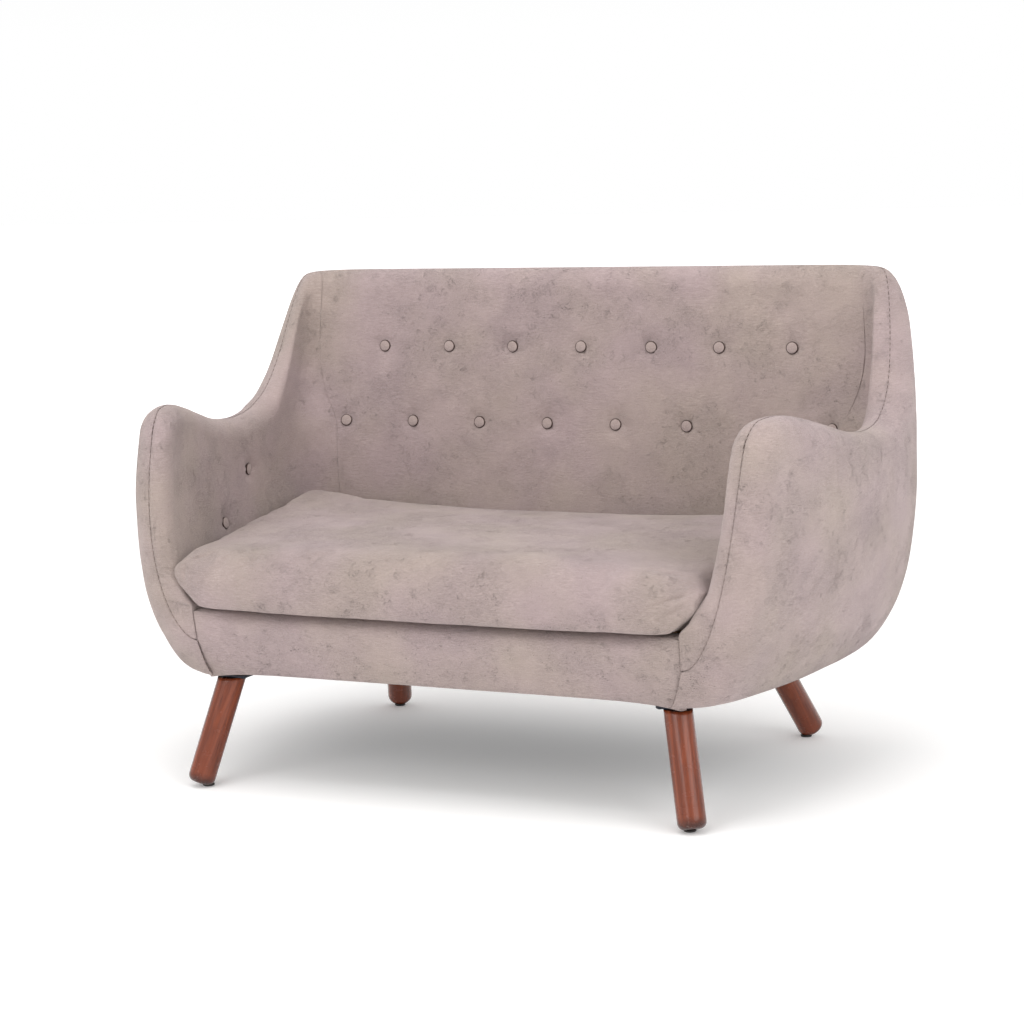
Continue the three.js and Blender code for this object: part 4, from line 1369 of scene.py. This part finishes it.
def build_dust_cover():
    """The closing cloth: it sags a little, and its front edge is turned up behind the
    front rail except at the centre rail."""
    line = dust_outline()
    order = np.argsort(line[:, 1])
    turn = np.linspace(0, math.pi, DUST_ROWS)
    share = (1 - np.cos(turn)) / 2
    y = lerp(line[0, 1], line[-1, 1] - 0.5, share)[:, None]
    half = np.interp(y, line[order, 1], line[order, 0])
    a = np.linspace(-1, 1, DUST_COLUMNS)[None, :]
    x = a * np.maximum(half, 1)
    y = np.broadcast_to(y, x.shape)
    middle = (1 - a ** 2) * np.sin(turn)[:, None]
    flat = np.stack([x, y, np.full(x.shape, DUST_Z)], -1).reshape(-1, 3)
    ripple = 0.5 * slow_noise(flat, 60, 91).reshape(x.shape)
    z = DUST_Z - DUST_SAG * middle + ripple * np.sqrt(middle)
    z += DUST_TURN_UP * (1 - ramp(y, DUST_FRONT, DUST_FRONT + 16)) * ramp(np.abs(x), 11, 18)
    low, high = np.stack([x, y, z], -1), np.stack([x, y, z + DUST_THICKNESS], -1)
    points = np.concatenate([low.reshape(-1, 3), high.reshape(-1, 3)])
    faces = slab_faces(DUST_ROWS, DUST_COLUMNS)
    piece = make_mesh("closing_cloth", points, faces, BLACK_CLOTH)
    face_outwards(piece)
    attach(piece, FRAME_BODY)
    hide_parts("dust_cover")
    staples = build_staples(line)


def build_staples(line):
    """Staples along the edge of the closing cloth, a little way in."""
    length, places = even_steps(line[1:], STAPLE_PITCH)
    parts = []

    def spot_at(distance):
        return np.array([np.interp(distance, length, line[1:, k]) for k in range(2)])

    for at in places:
        spot = spot_at(at)
        ahead = spot_at(at + 1) - spot
        ahead = ahead / np.linalg.norm(ahead)
        inwards = np.array([-ahead[1], ahead[0]])
        spot = spot + STAPLE_INSET * inwards * (1 if inwards @ spot < 0 else -1)
        first, last = spot - STAPLE_HALF * ahead, spot + STAPLE_HALF * ahead
        in_wood, under_cloth = DUST_Z + 1.5, DUST_Z - 0.5
        bar = [(*first, in_wood), (*first, under_cloth), (*last, under_cloth), (*last, in_wood)]
        for side in (-1, 1):
            parts.append(tube(np.array(bar) * [side, 1, 1], 0.5, 5))
    piece = make_mesh("closing_cloth_staples", *join(parts), ZINC)
    face_outwards(piece)
    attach(piece, FRAME_BODY)
    return piece


build_dust_cover()

# ----------------------------------------------------------------------- zipper

TOOTH_PITCH = 2.0
TOOTH_REACH = 1.9  # from the middle of the zipper into a tape
TOOTH_HALF = 0.55
TAPE_GAP = 0.15  # half the gap between the tapes
TAPE_STEPS = 241


def box_points(low, high):
    """A plain small block as points and faces."""
    (x0, y0, z0), (x1, y1, z1) = low, high
    outline = np.array([(x0, y0), (x1, y0), (x1, y1), (x0, y1)], float)
    return stacked_outlines([(outline, z0), (outline, z1)])


def build_tape():
    """Two tapes with a row of moulded teeth meeting along the middle."""
    low, high = box_mm("zipper_tape")
    mid = (low[2] + high[2]) / 2
    x = np.linspace(low[0], high[0], TAPE_STEPS)
    wave = 0.12 * np.sin(x / 23) + 0.08 * np.sin(x / 7.1)
    parts = []
    for levels in ((low[2], mid - TAPE_GAP), (mid + TAPE_GAP, high[2])):
        near, far = [], []
        for z in levels:
            near.append(np.column_stack([x, low[1] + 0.2 + 0 * x, np.full(x.shape, z)]))
            far.append(np.column_stack([x, low[1] + 0.75 + wave * 0.5, z + wave]))
        tape = np.concatenate([np.stack(face, 1).reshape(-1, 3) for face in (near, far)])
        parts.append((tape, slab_faces(TAPE_STEPS, 2)))
    cloth_faces = sum(len(p[1]) for p in parts)
    for k, at in enumerate(np.arange(low[0] + 3, high[0] - 3, TOOTH_PITCH)):
        reach = TOOTH_REACH if k % 2 else -TOOTH_REACH
        ends = sorted((mid - 0.35 * np.sign(reach), mid + reach))
        near = (at - TOOTH_HALF, low[1] + 0.5, ends[0])
        far = (at + TOOTH_HALF, high[1] - 0.05, ends[1])
        parts.append(box_points(near, far))
    points, faces = join(parts)
    piece = make_mesh("zipper_chain", points, faces, ZIP_CLOTH, smooth=False)
    piece.data.materials.append(ZIP_TEETH)
    index = [0 if k < cloth_faces else 1 for k in range(len(faces))]
    piece.data.polygons.foreach_set("material_index", index)
    face_outwards(piece)
    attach(piece, CUSHION_BODY)
    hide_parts("zipper_tape")


def turned_up(points, centre, y):
    """Moves a body drawn flat in x and y onto the back of the cushion, facing +Y."""
    return np.column_stack([centre[0] + points[:, 0], y + points[:, 2], centre[2] + points[:, 1]])


def shield(scale):
    """Outline of a slider plate: wide shoulders above a narrow foot."""
    upper = [(-1.2, 6.3), (1.2, 6.3), (3.0, 5.6), (4.3, 4.0), (4.4, 2.0)]
    lower = [(3.5, -1.0), (3.1, -4.5), (2.4, -6.0), (-2.4, -6.0), (-3.1, -4.5), (-3.5, -1.0)]
    loop = upper + lower + [(-4.4, 2.0), (-4.3, 4.0), (-3.0, 5.6)]
    return np.array(loop)[::-1] * scale


def build_slider():
    """Two plates joined by a post, with an arch over them for the pull."""
    low, high = box_mm("zipper_slider")
    centre = (low + high) / 2
    parts = []
    for base, top in ((0.0, 1.0), (2.0, 3.0)):
        inner, edge = shield(0.92), shield(1.0)
        levels = [(inner, base), (edge, base + 0.25), (edge, top - 0.25), (inner, top)]
        parts.append(stacked_outlines(levels))
    parts.append(stacked_outlines([(shield(0.3), 0.8), (shield(0.3), 2.2)]))
    arch = [(-4.2, 2.8), (-3.6, 3.6), (-1.5, 3.85), (1.5, 3.85), (3.6, 3.6), (4.2, 2.8)]
    parts.append(tube([(0, y, z) for y, z in arch], 0.45, 8))
    points, faces = join(parts)
    points = turned_up(points, centre, low[1])
    piece = make_mesh("zipper_runner", points, faces, ZINC, smooth=False)
    face_outwards(piece)
    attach(piece, "zip_slider")
    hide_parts("zipper_slider")


def build_pull():
    """A pressed tab with a long hole, hung by its upper end."""
    low, high = box_mm("zipper_pull")
    centre, half = (low + high) / 2, (high - low) / 2
    outer = rounded_outline(half[0], half[2], 2.2)
    inner = rounded_outline(half[0] - 1.7, half[2] - 3.6, 1.2) + [0, -1.3]
    small, thick = outer * 0.94, half[1]
    loops = [(small, -thick), (outer, -thick * 0.5), (outer, thick * 0.5), (small, thick)]
    loops += [(inner, thick), (inner, -thick)]
    points = stacked_outlines(loops)[0]
    faces = ring_faces(len(loops), len(outer), closed=True)
    points = turned_up(points, centre, centre[1])
    piece = make_mesh("zipper_tab", points, faces, ZINC, smooth=False)
    face_outwards(piece)
    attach(piece, "zip_pull")
    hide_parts("zipper_pull")


ZIP_TEETH = moulded("zipper_teeth", rgb(120, 108, 102))
build_tape()
build_slider()
build_pull()

# -------------------------------------------------------- carried-over CAD nodes

CARRIED = (
    ("core_panel", BIRCH_PLY), ("seat_deck", BIRCH_PLY), ("corner_block", BEECH),
    ("hanger_bolt", ZINC), ("rail", BEECH),
)
for node_name, node in frame["nodes"].items():
    if node.hide_render:
        continue
    look = next(material for part, material in CARRIED if part in node_name)
    if not node.material_slots:
        node.data.materials.append(look)
    for slot in node.material_slots:
        slot.material = look

# ------------------------------------------------------- camera, floor and light

CAMERA_PLACE = (1.3543, -2.9184, 0.7928)
CAMERA_YAW, CAMERA_PITCH, CAMERA_ROLL = (math.radians(a) for a in (25.07, 7.97, -1.56))
LENS = 84.375
FLOOR_HALF = 40000


def build_camera():
    """The camera of the photo, as it was worked out from the object's outline."""
    data = bpy.data.cameras.new("camera")
    data.lens = LENS
    data.sensor_width = 36
    data.clip_end = 200
    camera = bpy.data.objects.new("camera", data)
    sy, cy = math.sin(CAMERA_YAW), math.cos(CAMERA_YAW)
    sp, cp = math.sin(CAMERA_PITCH), math.cos(CAMERA_PITCH)
    forward = Vector((-sy * cp, cy * cp, -sp))
    right = Vector((cy, sy, 0))
    up = right.cross(forward)
    c, s = math.cos(CAMERA_ROLL), math.sin(CAMERA_ROLL)
    x_axis, y_axis = c * right + s * up, -s * right + c * up
    turn = Matrix((x_axis, y_axis, -forward)).transposed().to_4x4()
    camera.matrix_world = Matrix.Translation(CAMERA_PLACE) @ turn
    bpy.context.scene.collection.objects.link(camera)
    bpy.context.scene.camera = camera


def build_floor():
    """A wide white floor that glows a little more with distance, like a lit studio."""
    look = Look("studio_floor")
    white = (1.0, 1.0, 0.995, 1.0)
    colour = look.shade(white, look.noise(2.0, 2.0), 0.3, 0.7, 0.93, 0.95)
    far = look.add("ShaderNodeVectorMath", operation="LENGTH")
    look.put(far.inputs[0], look.place)
    glow = look.spread(far.outputs["Value"], 1.2, 5.0, 0.12, 0.55)
    look.put(look.shader.inputs["Emission Strength"], glow)
    look.finish(colour, 0.9, Specular_IOR_Level=0.1, Emission_Color=(1, 0.985, 0.98, 1))
    corners = [(FLOOR_HALF * x, FLOOR_HALF * y, 0) for x, y in ((-1, -1), (1, -1), (1, 1), (-1, 1))]
    piece = make_mesh("studio_floor", corners, [[0, 1, 2, 3]], look.material)


def soft_light(name, place, target, size, watts):
    """A white rectangle of light turned to a target."""
    data = bpy.data.lights.new(name, "AREA")
    data.shape = "RECTANGLE"
    data.size, data.size_y = size
    data.energy = watts
    light = bpy.data.objects.new(name, data)
    light.location = place
    light.rotation_euler = (Vector(target) - Vector(place)).to_track_quat("-Z", "Y").to_euler()
    bpy.context.scene.collection.objects.link(light)


def build_world():
    """White all round at the horizon, dimmer overhead."""
    world = bpy.data.worlds.new("studio")
    world.use_nodes = True
    tree = world.node_tree
    place = tree.nodes.new("ShaderNodeTexCoord")
    split = tree.nodes.new("ShaderNodeSeparateXYZ")
    fade = tree.nodes.new("ShaderNodeMapRange")
    tree.links.new(place.outputs["Generated"], split.inputs[0])
    tree.links.new(split.outputs["Z"], fade.inputs["Value"])
    for socket, number in zip(fade.inputs[1:5], (0.06, 0.4, 1.0, 0.8)):
        socket.default_value = number
    back = tree.nodes["Background"]
    tree.links.new(fade.outputs[0], back.inputs["Color"])
    bpy.context.scene.world = world


build_camera()
build_floor()
build_world()
soft_light("key", (2.6, -1.3, 1.7), (0.1, 0, 0.35), (2.2, 1.8), 29)
soft_light("top", (-0.2, -0.6, 3.0), (0, 0, 0.3), (2.6, 2.2), 40)
soft_light("front", (-0.8, -3.4, 1.9), (0, 0, 0.4), (2.4, 1.6), 34)
bpy.context.scene.view_settings.view_transform = "Standard"

# ------------------------------------------------------------------ end

bpy.context.view_layer.update()
